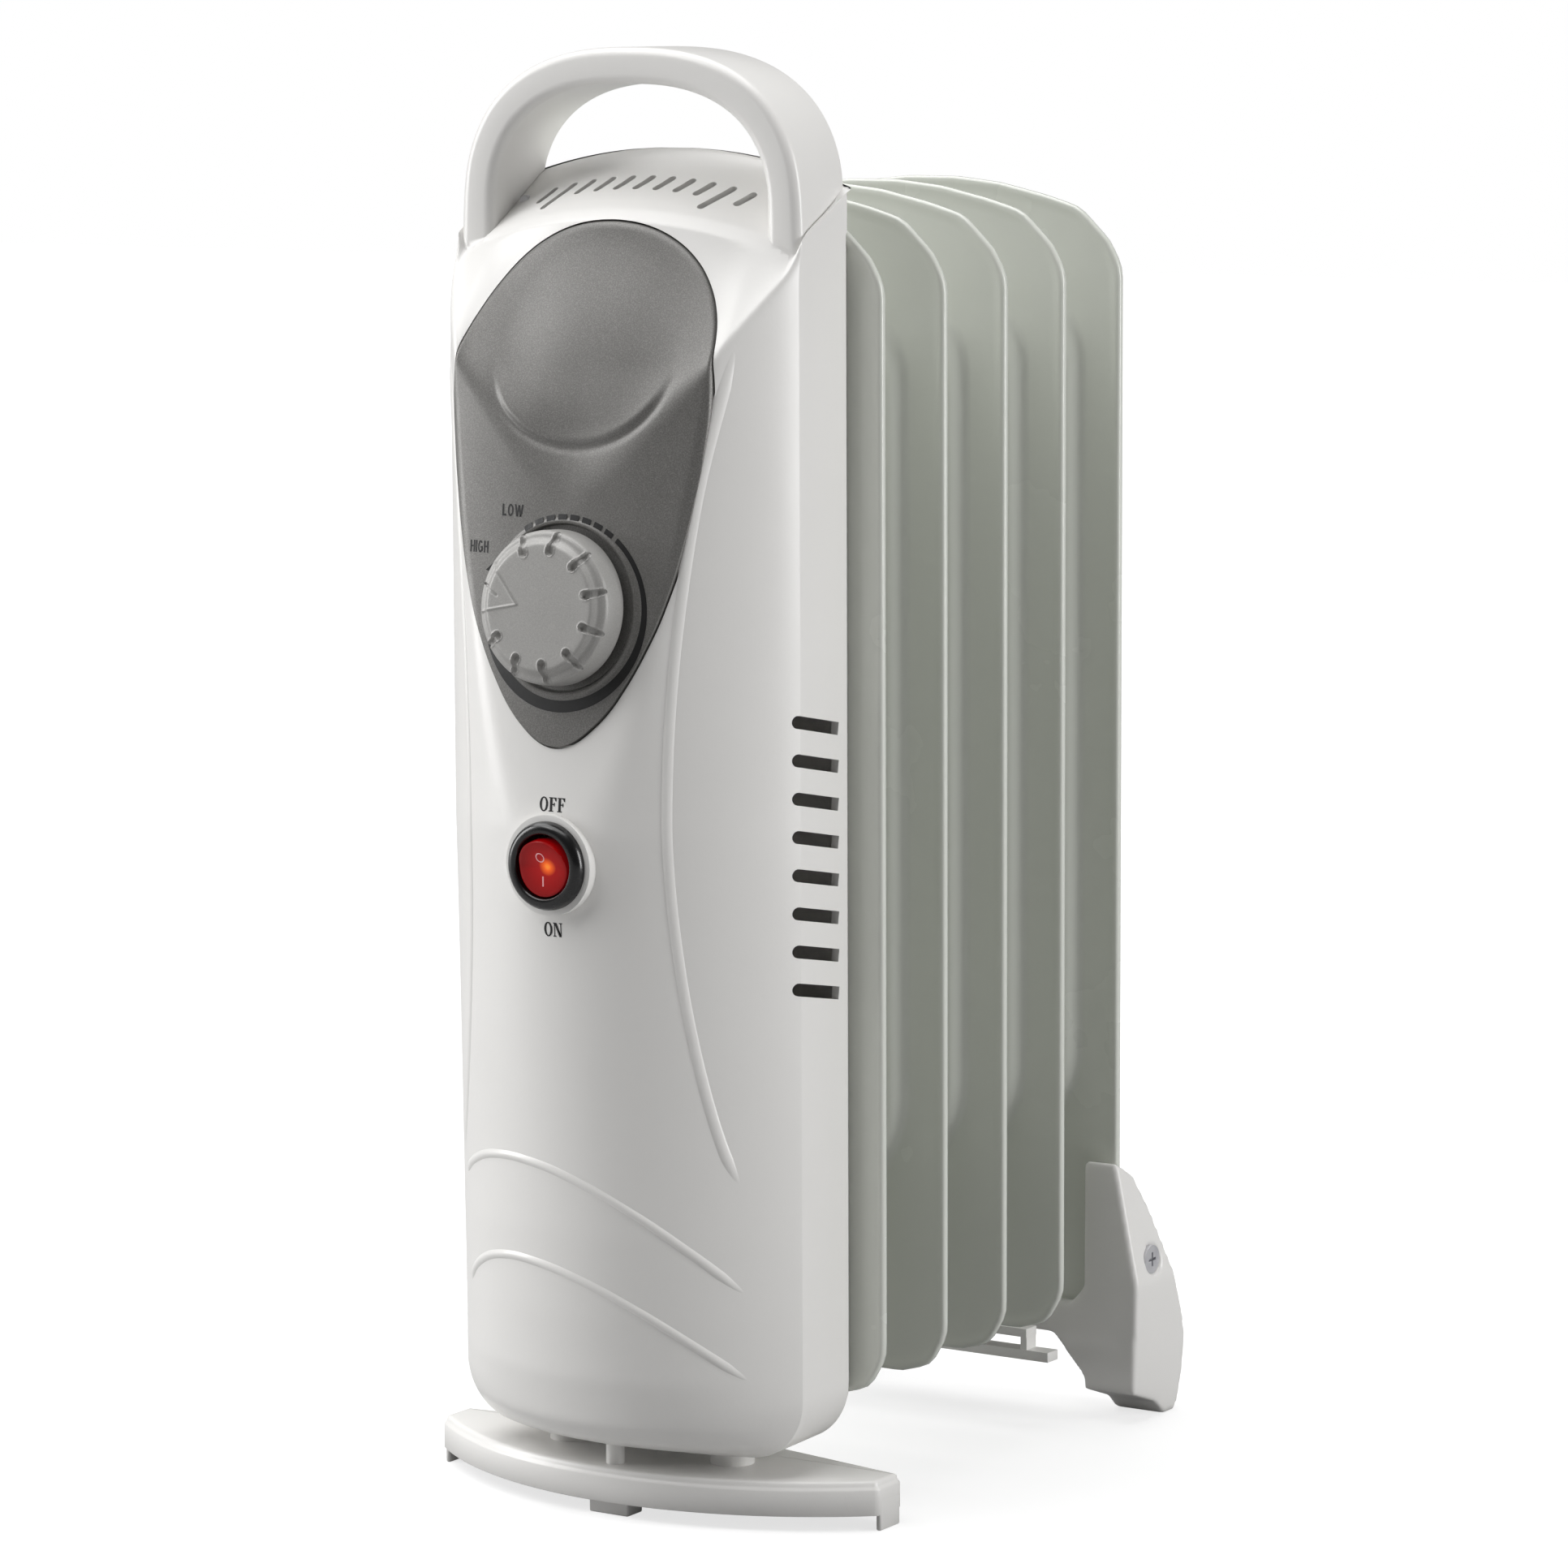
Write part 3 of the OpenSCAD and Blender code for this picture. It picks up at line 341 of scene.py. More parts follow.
def arch(half, height, t):
    """Point on the handle's arch; t runs from 0, right foot, to 1, left foot."""
    leg = 0.16
    if t < leg or t > 1 - leg:
        side = 1 if t < leg else -1
        u = t / leg if t < leg else (1 - t) / leg
        return side * half, HANDLE_FOOT + (SPRING - HANDLE_FOOT) * u
    a = math.pi * (t - leg) / (1 - 2 * leg)
    c, s = math.cos(a), math.sin(a)
    return half * math.copysign(abs(c) ** POWER, c), SPRING + height * abs(s) ** POWER


def handle_piece():
    """The carrying handle: a band with rounded edges along the arch."""
    rise = HANDLE_TOP - SPRING
    back, front = (-0.35, 0.7), (-HANDLE_DEPTH, 2.6)
    corners = ((0, *back, 90), (0, *front, 180), (1, *front, 270), (1, *back, 360))
    section = []
    for cx, cy, r, a0 in corners:
        for k in range(7):
            a = math.radians(a0 + 15 * k)
            y0 = cy + (r if cy < -1 else -r)
            section.append((cx, r, math.cos(a), y0 + r * math.sin(a)))
    rows = 121
    verts = []
    for i in range(rows):
        t = i / (rows - 1)
        ox, oz = arch(HALF, rise, t)
        ox -= math.copysign(0.15 * (1 - float(smoothstep(350, 358, oz))), ox)
        ix, iz = arch(HALF - BAND, rise - BAND, t)
        d = np.array([ix - ox, iz - oz])
        length = np.linalg.norm(d)
        d /= length
        lean = 1 - smoothstep(330, 372, oz)
        for cx, r, c, y in section:
            across = (r + r * c) if cx == 0 else (length - r + r * c)
            out = (FLARE * -y / SIDE) * float(lean) * (1 - across / length)
            out *= 1 if ox > 0 else -1
            verts.append((ox + d[0] * across + out, y, oz + d[1] * across))
    n = len(section)
    faces = grid_faces(rows, n, closed=True) + end_caps(rows, n)
    return make("handle_part", verts, faces, body=None)


# -------- cutters
def prism(outline, y0, y1):
    """A closed prism along Y from an outline in x and z."""
    verts = [(x, y, z) for y in (y0, y1) for x, z in outline]
    return make("prism", verts, prism_faces(len(outline)), body=None)


def capsule(length, width, n=8):
    """Outline of a slot with round ends, along its first axis."""
    r = width / 2
    pts = []
    for cx, a0 in ((length / 2 - r, -90), (-length / 2 + r, 90)):
        for k in range(n + 1):
            a = math.radians(a0 + 180 * k / n)
            pts.append((cx + r * math.cos(a), r * math.sin(a)))
    return pts


def slot_cutter(outline, frame_matrix, depth):
    """A prism of the outline in the first two axes of a frame, along its third."""
    pts = [frame_matrix @ Vector((u, v, w)) for w in (-depth, depth) for u, v in outline]
    return make("slot", [tuple(p) for p in pts], prism_faces(len(outline)), body=None)


SLOT_LOW_Z = 142.8
SLOT_PITCH = 10
SLOT_LENGTH = 23
SLOT_WIDTH = 3.4
VENT_PITCH = 6.3
LONG_VENTS = (1, 9)


def vent_cutters():
    """Cutters for the side slots, round at one end, and for the slanted slots on top."""
    cutters = []
    half_length, half_width = SLOT_LENGTH / 2, SLOT_WIDTH / 2
    square_end = [(half_length, -half_width), (half_length, half_width)]
    round_end = [p for p in capsule(SLOT_LENGTH, SLOT_WIDTH) if p[0] < 0]
    for side in (-1, 1):
        for i in range(8):
            centre = Vector((side * (HALF + 1), -16.1, SLOT_LOW_Z + SLOT_PITCH * i))
            turn = Matrix.Rotation(math.radians(-10.5), 4, "X")
            axes = Matrix(((0, 0, side, 0), (1, 0, 0, 0), (0, 1, 0, 0), (0, 0, 0, 1)))
            place = Matrix.Translation(centre) @ turn @ axes
            cutters.append(slot_cutter(square_end + round_end, place, 6))
    for i in range(11):
        x = (i - 5) * VENT_PITCH
        z = 352.5 - x * x / TOP_BEND
        length, drop = (13, -2.6) if i in LONG_VENTS else (7.6, 0)
        normal = Vector((x / (TOP_BEND / 2), -0.5, 0.87)).normalized()
        along = Vector((0.38, 0.8, 0.46))
        along = (along - normal * along.dot(normal)).normalized()
        across = normal.cross(along)
        m = Matrix((along, across, normal)).transposed().to_4x4()
        m.translation = Vector((x, -15.5, z)) + along * drop
        cutters.append(slot_cutter(capsule(length, 2.2), m, 7))
    return cutters


def panel_points(grow, n=180):
    """Outline of the grey panel in x and z: round above, drawn in below to a blunt point."""
    right = [(0, 207.5), (4.6, 208.6), (8.6, 211.2), (16, 218), (23.1, 229), (28.8, 240.6),
             (33.2, 253.6), (36.6, 268), (39, 281), (40.4, 293), (40.7, 301), (40.2, 308),
             (39.2, 313), (36.8, 320), (32.6, 327.2), (26.6, 333.8), (19, 338.8), (10, 342), (0, 343)]
    left = [(-x, z) for x, z in right[-2:0:-1]]
    loop = np.array(right + left, float)
    shifts = (-4, -2, 0, 2, 4)
    pts = sum(resampled(loop, n, shift) for shift in shifts) / len(shifts)
    edge = np.roll(pts, -1, 0) - np.roll(pts, 1, 0)
    normal = np.stack([edge[:, 1], -edge[:, 0]], 1) / np.linalg.norm(edge, axis=1)[:, None]
    return pts + normal * grow


def disc(radius, n=64):
    """Points of a circle."""
    turns = [2 * math.pi * k / n for k in range(n)]
    return [(radius * math.cos(a), radius * math.sin(a)) for a in turns]


# -------- front cover
def on_surface(x, z, lift):
    """A point on the housing's front, lifted off it along its normal."""
    e = 0.5
    y = float(front_y(x, z))
    dx = (float(front_y(x + e, z)) - float(front_y(x - e, z))) / (2 * e)
    dz = (float(front_y(x, z + e)) - float(front_y(x, z - e))) / (2 * e)
    n = np.array([dx, -1.0, dz])
    n /= np.linalg.norm(n)
    return np.array([x, y, z]) + n * lift


def ridge(points, width=1.5, height=0.7):
    """A raised line on the barrel, thinning out at both ends."""
    pts = np.array(points, float)
    count = 90
    t = np.linspace(0, len(pts) - 1, count)
    base = np.stack([np.interp(t, range(len(pts)), pts[:, k]) for k in (0, 1)], 1)
    for _ in range(24):
        base[1:-1] = (base[:-2] + base[1:-1] * 2 + base[2:]) / 4
    verts = []
    for i, (x, z) in enumerate(base):
        a, b = base[max(i - 1, 0)], base[min(i + 1, count - 1)]
        d = (b - a) / np.linalg.norm(b - a)
        end = min(1.0, 12 * min(i, count - 1 - i) / count + 0.05)
        for k in range(9):
            u = -1 + 2 * k / 8
            side = u * width * (0.4 + 0.6 * end)
            lift = height * end * (1 - u * u) - 0.25
            verts.append(on_surface(x - d[1] * side, z + d[0] * side, lift))
    faces = grid_faces(count, 9)
    return make("ridge_part", verts, faces, body=None)


def ridges():
    """A long line down each side of the barrel, and two swept across its lower part."""
    flank = [(45.2, 315), (42.6, 300), (38, 278), (35, 255), (32.5, 232), (31, 208), (30.6, 185),
             (31.4, 165), (33.6, 142), (37, 120), (41, 101), (44.6, 92)]
    lines = [[(spread * x, z) for x, z in flank] for spread in (-1.06, 1.0)]
    lines.append([(-44, 88), (-40, 92.5), (-30, 97), (-18, 98.5), (-4, 97), (10, 92), (24, 84),
                  (36, 74), (46, 63)])
    lines.append([(-44, 58), (-40, 64), (-30, 69.5), (-18, 71.5), (-4, 70), (10, 65.5), (24, 58),
                  (36, 49), (46, 40)])
    return [ridge(line) for line in lines]


def switch_plug(radius, y0, y1):
    """A round plug about the switch's axis."""
    return prism([(x, SWITCH_Z + z) for x, z in disc(radius)], y0, y1)


def build_front_cover():
    """The housing's front with its handle: a hollow shell with every opening cut through."""
    cover = make("cover_shell", *lofted(housing_levels(0, 150, 0.0)), body=None)
    boolean(cover, handle_piece(), "UNION")
    boolean(cover, switch_plug(SWITCH_PAD_R, -61.9, -55), "UNION")
    cutters = [make("cavity", *lofted(housing_levels(WALL, 90, 4.0)), body=None)]
    cutters.append(join(vent_cutters()))
    cutters.append(prism([tuple(p) for p in panel_points(0.45)], -90, -24))
    cutters.append(switch_plug(SWITCH_HOLE_R, -80, -50))
    for cutter in cutters:
        boolean(cover, cutter)
    soften(cover, 62)
    lines = ridges()
    for line in lines:
        soften(line, 60)
    cover = join([cover] + lines)
    cover.name = "front_cover_shell"
    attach(cover, "root")
    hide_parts("front_cover")
    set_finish(cover, "white_plastic")


# -------- grey panel
def dome(x, z):
    """The raised field of the panel, with a smile-shaped lower edge that fades upwards."""
    cz = 309.0
    down = np.clip((cz - z) / 23.5, 0, None)
    up = np.clip((z - cz) / 30.0, 0, None)
    rho = np.sqrt((x / 28.5) ** 2 + down ** 2 + up ** 2)
    body = np.clip(1 - rho ** 2, 0, 1)
    edge = smoothstep(1.03, 0.93, rho) * smoothstep(0.05, 0.75, down)
    groove = np.exp(-((rho - 1.03) / 0.045) ** 2) * smoothstep(0.1, 0.8, down)
    return 2.6 * body ** 1.8 + 1.0 * edge - 0.35 * groove


def knob_distance(x, z):
    """Distance from the knob's axis, measured in the panel's plane."""
    return np.sqrt(x ** 2 + ((z - KNOB_Z) / math.cos(TILT)) ** 2)


def panel_y(x, z):
    """Depth of the grey panel: proud of the housing, with the dome and the knob's recess."""
    away = knob_distance(x, z)
    recess = 1.3 * smoothstep(22.0, 21.4, away)
    lip = 0.35 * np.exp(-((away - 22.6) / 0.55) ** 2)
    return front_y(x, z) - 0.75 - dome(x, z) + recess - lip


def build_panel():
    """The grey panel: rings round the knob's recess, then rays out to its rounded edge."""
    outline = panel_points(-0.05, 360)
    centre = np.array([0.0, KNOB_Z])
    reach = np.linalg.norm(outline - centre, axis=1)[:, None]
    rays = (outline - centre) / reach
    radii = np.concatenate([np.linspace(1, 20, 8), np.linspace(20.6, 24.4, 34), [25, 25.8]])
    shares = np.concatenate([[0.0] * len(radii), np.linspace(0.015, 0.985, 84)])
    verts = []
    for k, share in enumerate(shares):
        start = radii[min(k, len(radii) - 1)]
        for x, z in centre + rays * (start + (reach - start) * share):
            verts.append((x, z, 0.0))
    for share, drop in ((0.992, 0.10), (0.997, 0.3), (1.0, 0.6)):
        for x, z in centre + (outline - centre) * share:
            verts.append((x, z, drop))
    pts = np.array(verts)
    y = panel_y(pts[:, 0], pts[:, 1]) + pts[:, 2]
    verts = list(zip(pts[:, 0], y, pts[:, 1]))
    n = len(outline)
    rows = len(shares) + 3
    rim = verts[-n:]
    verts += [(x, y + 5.0, z) for x, y, z in rim]
    faces = grid_faces(rows + 1, n, closed=True)
    faces.append(tuple(range(n - 1, -1, -1)))
    panel = make("grey_panel", verts, faces, smooth=50)
    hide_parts("control_panel")
    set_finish(panel, "grey_plastic")


# -------- knob
def on_knob_axis(u, v, w):
    """From the panel's own axes, right, up and outwards, to the housing's."""
    face = PANEL_LOW_Y + (KNOB_Z - PANEL_LOW_Z) * math.tan(TILT)
    c, s = math.cos(TILT), math.sin(TILT)
    return u, face - w * c + v * s, KNOB_Z + v * c + w * s


def segment_distance(px, py, ax, ay, bx, by):
    """Distance of points from a line between two ends, and how far along it they are."""
    dx, dy = bx - ax, by - ay
    t = np.clip(((px - ax) * dx + (py - ay) * dy) / (dx * dx + dy * dy), 0, 1)
    return np.hypot(px - ax - t * dx, py - ay - t * dy), t


def clock(deg, r):
    """Point on the dial at an angle clockwise from its top."""
    a = math.radians(deg)
    return r * math.sin(a), r * math.cos(a)


def knob_relief(px, py):
    """Height of the knob's top: teardrop notches, the pointer's wedge and its line."""
    cut = np.zeros_like(px)
    for k in range(9):
        deg = 338 + 32.4 * k
        ax, ay = clock(deg, 14.8)
        bx, by = clock(deg, 19.2)
        d, t = segment_distance(px, py, ax, ay, bx, by)
        width = 1.15 - 0.45 * t
        depth = 1.2 - 0.5 * t
        lip = 0.16 * np.exp(-((d - width - 0.25) / 0.18) ** 2)
        cut += depth * smoothstep(width + 0.12, width - 0.22, d) - lip
    wedge = 0
    apex = clock(273, 6.9)
    for deg in (264, 305):
        ax, ay = clock(deg, 19.2)
        d, _ = segment_distance(px, py, ax, ay, *apex)
        wedge = np.maximum(wedge, np.exp(-(d / 0.3) ** 2))
    ax, ay = clock(280.5, 13.7)
    bx, by = clock(285.6, 19.0)
    d, _ = segment_distance(px, py, ax, ay, bx, by)
    return -cut + 0.28 * wedge - 0.5 * smoothstep(0.5, 0.25, d)


def build_knob():
    """The dial knob: a turned profile, dense where its top carries the relief."""
    top = 10.8
    upper = [(0.02, 0.15), (4, 0.14), (8, 0.1), (12, 0.04), (15.2, 0), (16.0, -0.05), (16.5, -0.25),
             (17.1, -0.9), (17.6, -1.5), (18.1, -1.75), (18.9, -1.9), (19.5, -2.2), (19.85, -2.9),
             (20.05, -4.5)]
    profile = [(r, top + h) for r, h in upper]
    profile += [(KNOB_R, 2.2), (20.2, 1.5), (19.6, 1.3), (17.9, 1.3), (17.9, 4.4), (3.2, 4.4)]
    dense = []
    for (r0, h0), (r1, h1) in zip(profile, profile[1:]):
        steps = 3
        if r1 > 7 and h1 > 5:
            steps = max(1, int(math.hypot(r1 - r0, h1 - h0) / 0.22))
        part = [k / steps for k in range(steps)]
        dense += [(r0 + (r1 - r0) * u, h0 + (h1 - h0) * u) for u in part]
    dense.append(profile[-1])
    n = 540
    ang = np.linspace(0, 2 * np.pi, n, endpoint=False)
    rows = []
    for rr, h in dense:
        px, py = rr * np.sin(ang), rr * np.cos(ang)
        hh = h + (knob_relief(px, py) if h > 7 else 0 * px)
        rows.append(np.stack([px, py, hh], 1))
    pts = np.concatenate(rows)
    verts = np.stack(on_knob_axis(pts[:, 0], pts[:, 1], pts[:, 2]), 1)
    faces = grid_faces(len(dense), n, closed=True) + end_caps(len(dense), n)
    knob = make("dial_knob", verts, faces, body="knob", smooth=60)
    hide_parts("thermostat_knob")
    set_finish(knob, "grey_plastic")


# -------- scale, letters
def printed(name, loops, on, lift=0.06, body="root", slot="black_plastic"):
    """Flat print: each loop is an outline that the given function puts on a surface."""
    verts, faces = [], []
    for loop in loops:
        start = len(verts)
        verts += [on(x, z, lift) for x, z in loop]
        faces.append(tuple(range(start, start + len(loop))))
    ob = make(name, verts, faces, body=body)
    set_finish(ob, slot)
    return ob


def on_panel_face(x, z, lift):
    """A point just in front of the grey panel."""
    y = float(panel_y(np.array(x), np.array(z)))
    return (x, y - lift, z)


SCALE_R = 25.5


def band_strip(start, end, inner, steps):
    """Quads along an arc of the dial's scale; the inner radius is a function of the angle."""
    quads = []
    for k in range(steps):
        a0 = start + (end - start) * k / steps
        a1 = start + (end - start) * (k + 1) / steps
        near = [clock(a0, inner(a0)), clock(a0, SCALE_R)]
        quads.append(near + [clock(a1, SCALE_R), clock(a1, inner(a1))])
    return quads


def build_scale():
    """The dial's printed scale: dashes, a band that thickens round the knob, and its arrow."""
    quads = []
    for k in range(8):
        a = -32 + k * 8.7
        quads += band_strip(a, a + 6.2, lambda d: 24.1, 3)

    def band_inner(d):
        swell = float(smoothstep(60, 180, d)) * float(1 - 0.35 * smoothstep(230, 270, d))
        return SCALE_R - (1.35 + 1.7 * swell)

    quads += band_strip(38.5, 270, band_inner, 110)
    quads += band_strip(270, 292, lambda d: 23.2 + 0.1 * (d - 270), 8)
    quads.append([clock(291, 22.8), clock(291, 27.6), clock(303, 25.0)])
    placed = [[(x + 0.6, KNOB_Z - 1.3 + z) for x, z in q] for q in quads]
    return printed("scale_print", placed, on_panel_face)


def box(x0, y0, x1, y1):
    """A rectangle between two corners."""
    return [(x0, y0), (x1, y0), (x1, y1), (x0, y1)]


def on_round(a, r):
    """A point on the stroke of a plain O at a share of its width."""
    return 0.35 + 0.35 * r * math.cos(a), 0.5 + (0.52 - (1 - r) * 0.34) * math.sin(a)


def letter_bars(letter):
    """Strokes of a plain capital as quads in a box 1 high, and its width."""
    t = 0.21
    stem = box(0, 0, t, 1)
    if letter == "L":
        return [stem, box(t, 0, 0.55, t * 0.85)], 0.55
    if letter == "H":
        return [stem, box(0.48, 0, 0.48 + t, 1), box(t, 0.44, 0.48, 0.59)], 0.65
    if letter == "I":
        return [stem], t
    if letter == "W":
        w = t * 0.9
        zig = [(0, 1), (0.24, 0), (0.46, 0.95), (0.68, 0), (0.92, 1)]
        return [[a, (a[0] + w, a[1]), (b[0] + w, b[1]), b] for a, b in zip(zig, zig[1:])], 1.08
    start, count = (40, 20) if letter == "G" else (0, 24)
    quads = []
    for k in range(count):
        a0 = math.radians(15 * k + start)
        a1 = a0 + math.radians(15)
        quads.append([on_round(a0, 1), on_round(a1, 1), on_round(a1, 0.52), on_round(a0, 0.52)])
    if letter == "G":
        quads += [box(0.36, 0.38, 0.7, 0.52), box(0.56, 0.1, 0.7, 0.5)]
    return quads, 0.7


def ring_quads(outer, inner, n=28):
    """Quads between two ellipses, each given as centre and radius across, then up."""
    quads = []
    for k in range(n):
        a0, a1 = 2 * math.pi * k / n, 2 * math.pi * (k + 1) / n
        quads.append([(cx + rx * math.cos(a), cy + ry * math.sin(a)) for (cx, rx, cy, ry), a in
                      ((outer, a0), (outer, a1), (inner, a1), (inner, a0))])
    return quads


def serif_bars(letter):
    """Strokes of a capital with serifs: thick stems, thin hairlines."""
    if letter == "O":
        outer = (0.33, 0.33, 0.5, 0.52)
        inner = (0.33, 0.16, 0.5, 0.43)
        return ring_quads(outer, inner), 0.66
    if letter == "F":
        serif = [(0.5, 0.74), (0.58, 0.74), (0.58, 0.93), (0.42, 0.93)]
        return [box(0.08, 0, 0.27, 1), box(0, 0, 0.37, 0.07), box(0, 0.93, 0.58, 1),
                box(0.27, 0.47, 0.44, 0.55), serif, box(0.39, 0.38, 0.46, 0.64)], 0.6
    slant = [(0.07, 1), (0.27, 1), (0.62, 0), (0.46, 0)]
    return [box(0.07, 0, 0.14, 0.93), box(0, 0, 0.24, 0.07), box(0, 0.93, 0.24, 1),
            box(0.55, 0, 0.62, 0.93), box(0.45, 0.93, 0.7, 1), slant], 0.7


def build_word(name, word, bars, x, z, height, on, squeeze, gap=0.16):
    """A printed word centred on a point, from the strokes of its letters."""
    loops = []
    total = sum(bars(c)[1] + gap for c in word) - gap
    pen = -total / 2
    for c in word:
        quads, width = bars(c)
        for quad in quads:
            loops.append([(x + (pen + u) * height * squeeze, z + (v - 0.5) * height) for u, v in quad])
        pen += width + gap
    return printed(name, loops, on)


# -------- rocker switch
SEAT = -61.8
PADDLE_R = 7.55


def lathe(profile, n=128):
    """A turned piece about the switch's axis; the profile is radius and height off the seat."""
    verts = []
    for r, h in profile:
        for k in range(n):
            a = 2 * math.pi * k / n
            verts.append((r * math.cos(a), SEAT - h, SWITCH_Z + r * math.sin(a)))
    return verts, grid_faces(len(profile), n, closed=True)


def build_bezel():
    """The switch's black round flange, with its barrel behind the housing."""
    profile = [(9.8, -19), (9.8, -0.1), (11.6, -0.1), (11.65, 0.5), (11.55, 1.3), (11.2, 2.1),
               (10.6, 2.7), (9.9, 2.97), (9.2, 3.0), (8.75, 2.9), (8.5, 2.6), (8.35, 1.6), (8.3, 0),
               (8.3, -8), (0.1, -8.2), (0.1, -19)]
    bezel = make("switch_bezel", *lathe(profile), smooth=30)
    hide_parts("switch_body")
    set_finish(bezel, "black_plastic")


def build_rocker():
    """A round paddle whose face is a shallow V, tipped so that its lower half is pressed in."""
    tip = math.radians(10)
    c, s, rise = math.cos(tip), math.sin(tip), math.tan(tip)
    n = 96

    def face_height(v):
        return 2.4 + rise * (math.sqrt(v * v + 0.5) - 0.7)

    def placed(x, v, h):
        return (x, SEAT - (h * c + v * s), SWITCH_Z + v * c - h * s)

    face = ((0.0, 0), (0.25, 0), (0.5, 0), (0.72, 0), (0.88, 0), (0.95, 0.03), (0.985, 0.14),
            (1.0, 0.42))
    skirt = ((1.0, 0.5), (0.93, -1.5), (0.8, -4.0), (0.3, -5.2))
    verts = []
    for share, drop in face:
        verts += [placed(x, v, face_height(v) - drop) for x, v in disc(PADDLE_R * share, n)]
    for share, h in skirt:
        verts += [placed(x, v, h) for x, v in disc(PADDLE_R * share, n)]
    rows = len(face) + len(skirt)
    faces = grid_faces(rows, n, closed=True) + end_caps(rows, n)[1:]
    rocker = make("rocker_lens", verts, faces, body="rocker", smooth=40)
    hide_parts("switch_rocker")
    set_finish(rocker, "red_lens")

    def on_face(x, v, lift):
        return placed(x, v, face_height(v) + lift)

    outer, inner = 1.35, 1.35 * 0.76
    marks = ring_quads((-0.2, outer, 3.0, outer), (-0.2, inner, 3.0, inner))
    marks.append(box(-0.2, -4.7, 0.2, -2.1))
    printed("rocker_marks", marks, on_face, lift=0.05, body="rocker", slot="white_plastic")


# -------- fins
PITCH = 31.0
FIN_AT = 4.6
FIN_HALF = 61.3
FIN_TOP = 350.0
FIN_LOW = 30.7
FIN_SKIN = 0.78
# The pressed step: inset from the fin's side, from the channel's ends, its lower corner radius,
# and its share of the rise above the flange
CHANNEL_LOW = 75
CHANNEL_HIGH = 319
STEP = ((10.6, 0, 30, 0.0), (11.5, 0.8, 29.5, 0.3), (12.3, 1.6, 29, 0.95), (13.2, 2.5, 28, 2.0),
        (14.1, 3.4, 27.5, 3.0), (15.2, 4.6, 27, 3.75), (17, 6.4, 26, 4.25), (21, 10, 24, 4.5),
        (28, 17, 20, 4.6), (38, 26, 14, 4.6), (48, 36, 8, 4.6))
RISE_SCALE = 1.08
FRONT_RISE = 1.1 / 4.6
RIM = ((0.0, 0.35), (0.12, 0.75), (0.4, 1.05), (0.8, 1.2), (1.5, 1.2), (2.1, 1.08), (2.9, 0.85),
       (4.2, FIN_SKIN))


def rounded(points, radii, steps=8):
    """A closed outline whose corners are rounded by arcs."""
    out = []
    n = len(points)
    for k in range(n):
        p, a, b = (np.array(points[j % n], float) for j in (k, k - 1, k + 1))
        da, db = (a - p) / np.linalg.norm(a - p), (b - p) / np.linalg.norm(b - p)
        half = math.acos(np.clip(np.dot(da, db), -1, 1)) / 2
        r = radii[k]
        if r < 0.05:
            out.append(tuple(p))
            continue
        reach = r / math.tan(half)
        mid = (da + db) / np.linalg.norm(da + db)
        c = p + mid * r / math.sin(half)
        s, e = p + da * reach - c, p + db * reach - c
        a0, a1 = math.atan2(s[1], s[0]), math.atan2(e[1], e[0])
        turn = (a1 - a0 + math.pi) % (2 * math.pi) - math.pi
        for i in range(steps + 1):
            t = a0 + turn * i / steps
            out.append((c[0] + r * math.cos(t), c[1] + r * math.sin(t)))
    return out


def resampled(loop, n, shift=0):
    """The same closed outline with n points evenly along it, from its first point or past it."""
    pts = np.array(loop, float)
    closed = np.vstack([pts, pts[:1]])
    run = np.concatenate([[0], np.cumsum(np.linalg.norm(np.diff(closed, axis=0), axis=1))])
    s = (np.linspace(0, run[-1], n, endpoint=False) + shift) % run[-1]
    return np.stack([np.interp(s, run, closed[:, k]) for k in (0, 1)], 1)


def inset_loop(loop, d):
    """Every point moved inwards along its normal; the outline runs anticlockwise."""
    pts = np.asarray(loop, float)
    edge = np.roll(pts, -1, 0) - np.roll(pts, 1, 0)
    edge /= np.maximum(np.linalg.norm(edge, axis=1), 1e-9)[:, None]
    return pts + np.stack([-edge[:, 1], edge[:, 0]], 1) * d


def closest_on(loop, pts):
    """For each point, the nearest point of a closed outline."""
    a = np.asarray(loop, float)
    b = np.roll(a, -1, 0)
    out = []
    for p in pts:
        d = b - a
        t = np.clip(((p - a) * d).sum(1) / np.maximum((d * d).sum(1), 1e-9), 0, 1)
        q = a + d * t[:, None]
        out.append(q[np.argmin(((q - p) ** 2).sum(1))])
    return np.array(out)


def fin_loop():
    """Outline of a fin in x and z, anticlockwise seen with x to the right and z up."""
    half = [(0, FIN_LOW), (47.3, FIN_LOW), (56.3, 33.3), (FIN_HALF, 41.7), (FIN_HALF, 325.7),
            (57.3, 333), (47.8, 342.1), (37, 345.2), (22, 348.5), (8, FIN_TOP)]
    radii = [0, 8, 7, 10, 12, 12, 12, 20, 25, 25]
    loop = half + [(-x, z) for x, z in half[:0:-1]]
    return rounded(loop, radii + radii[:0:-1])


def channel_loop(inset, end, r_low):
    """Outline of the oil channel at one level of its step."""
    half, low, high = FIN_HALF - inset, CHANNEL_LOW + end, CHANNEL_HIGH - end
    corners = [(half, low), (half, high), (-half, high), (-half, low)]
    return rounded(corners, [r_low, 18, 18, r_low], 14)


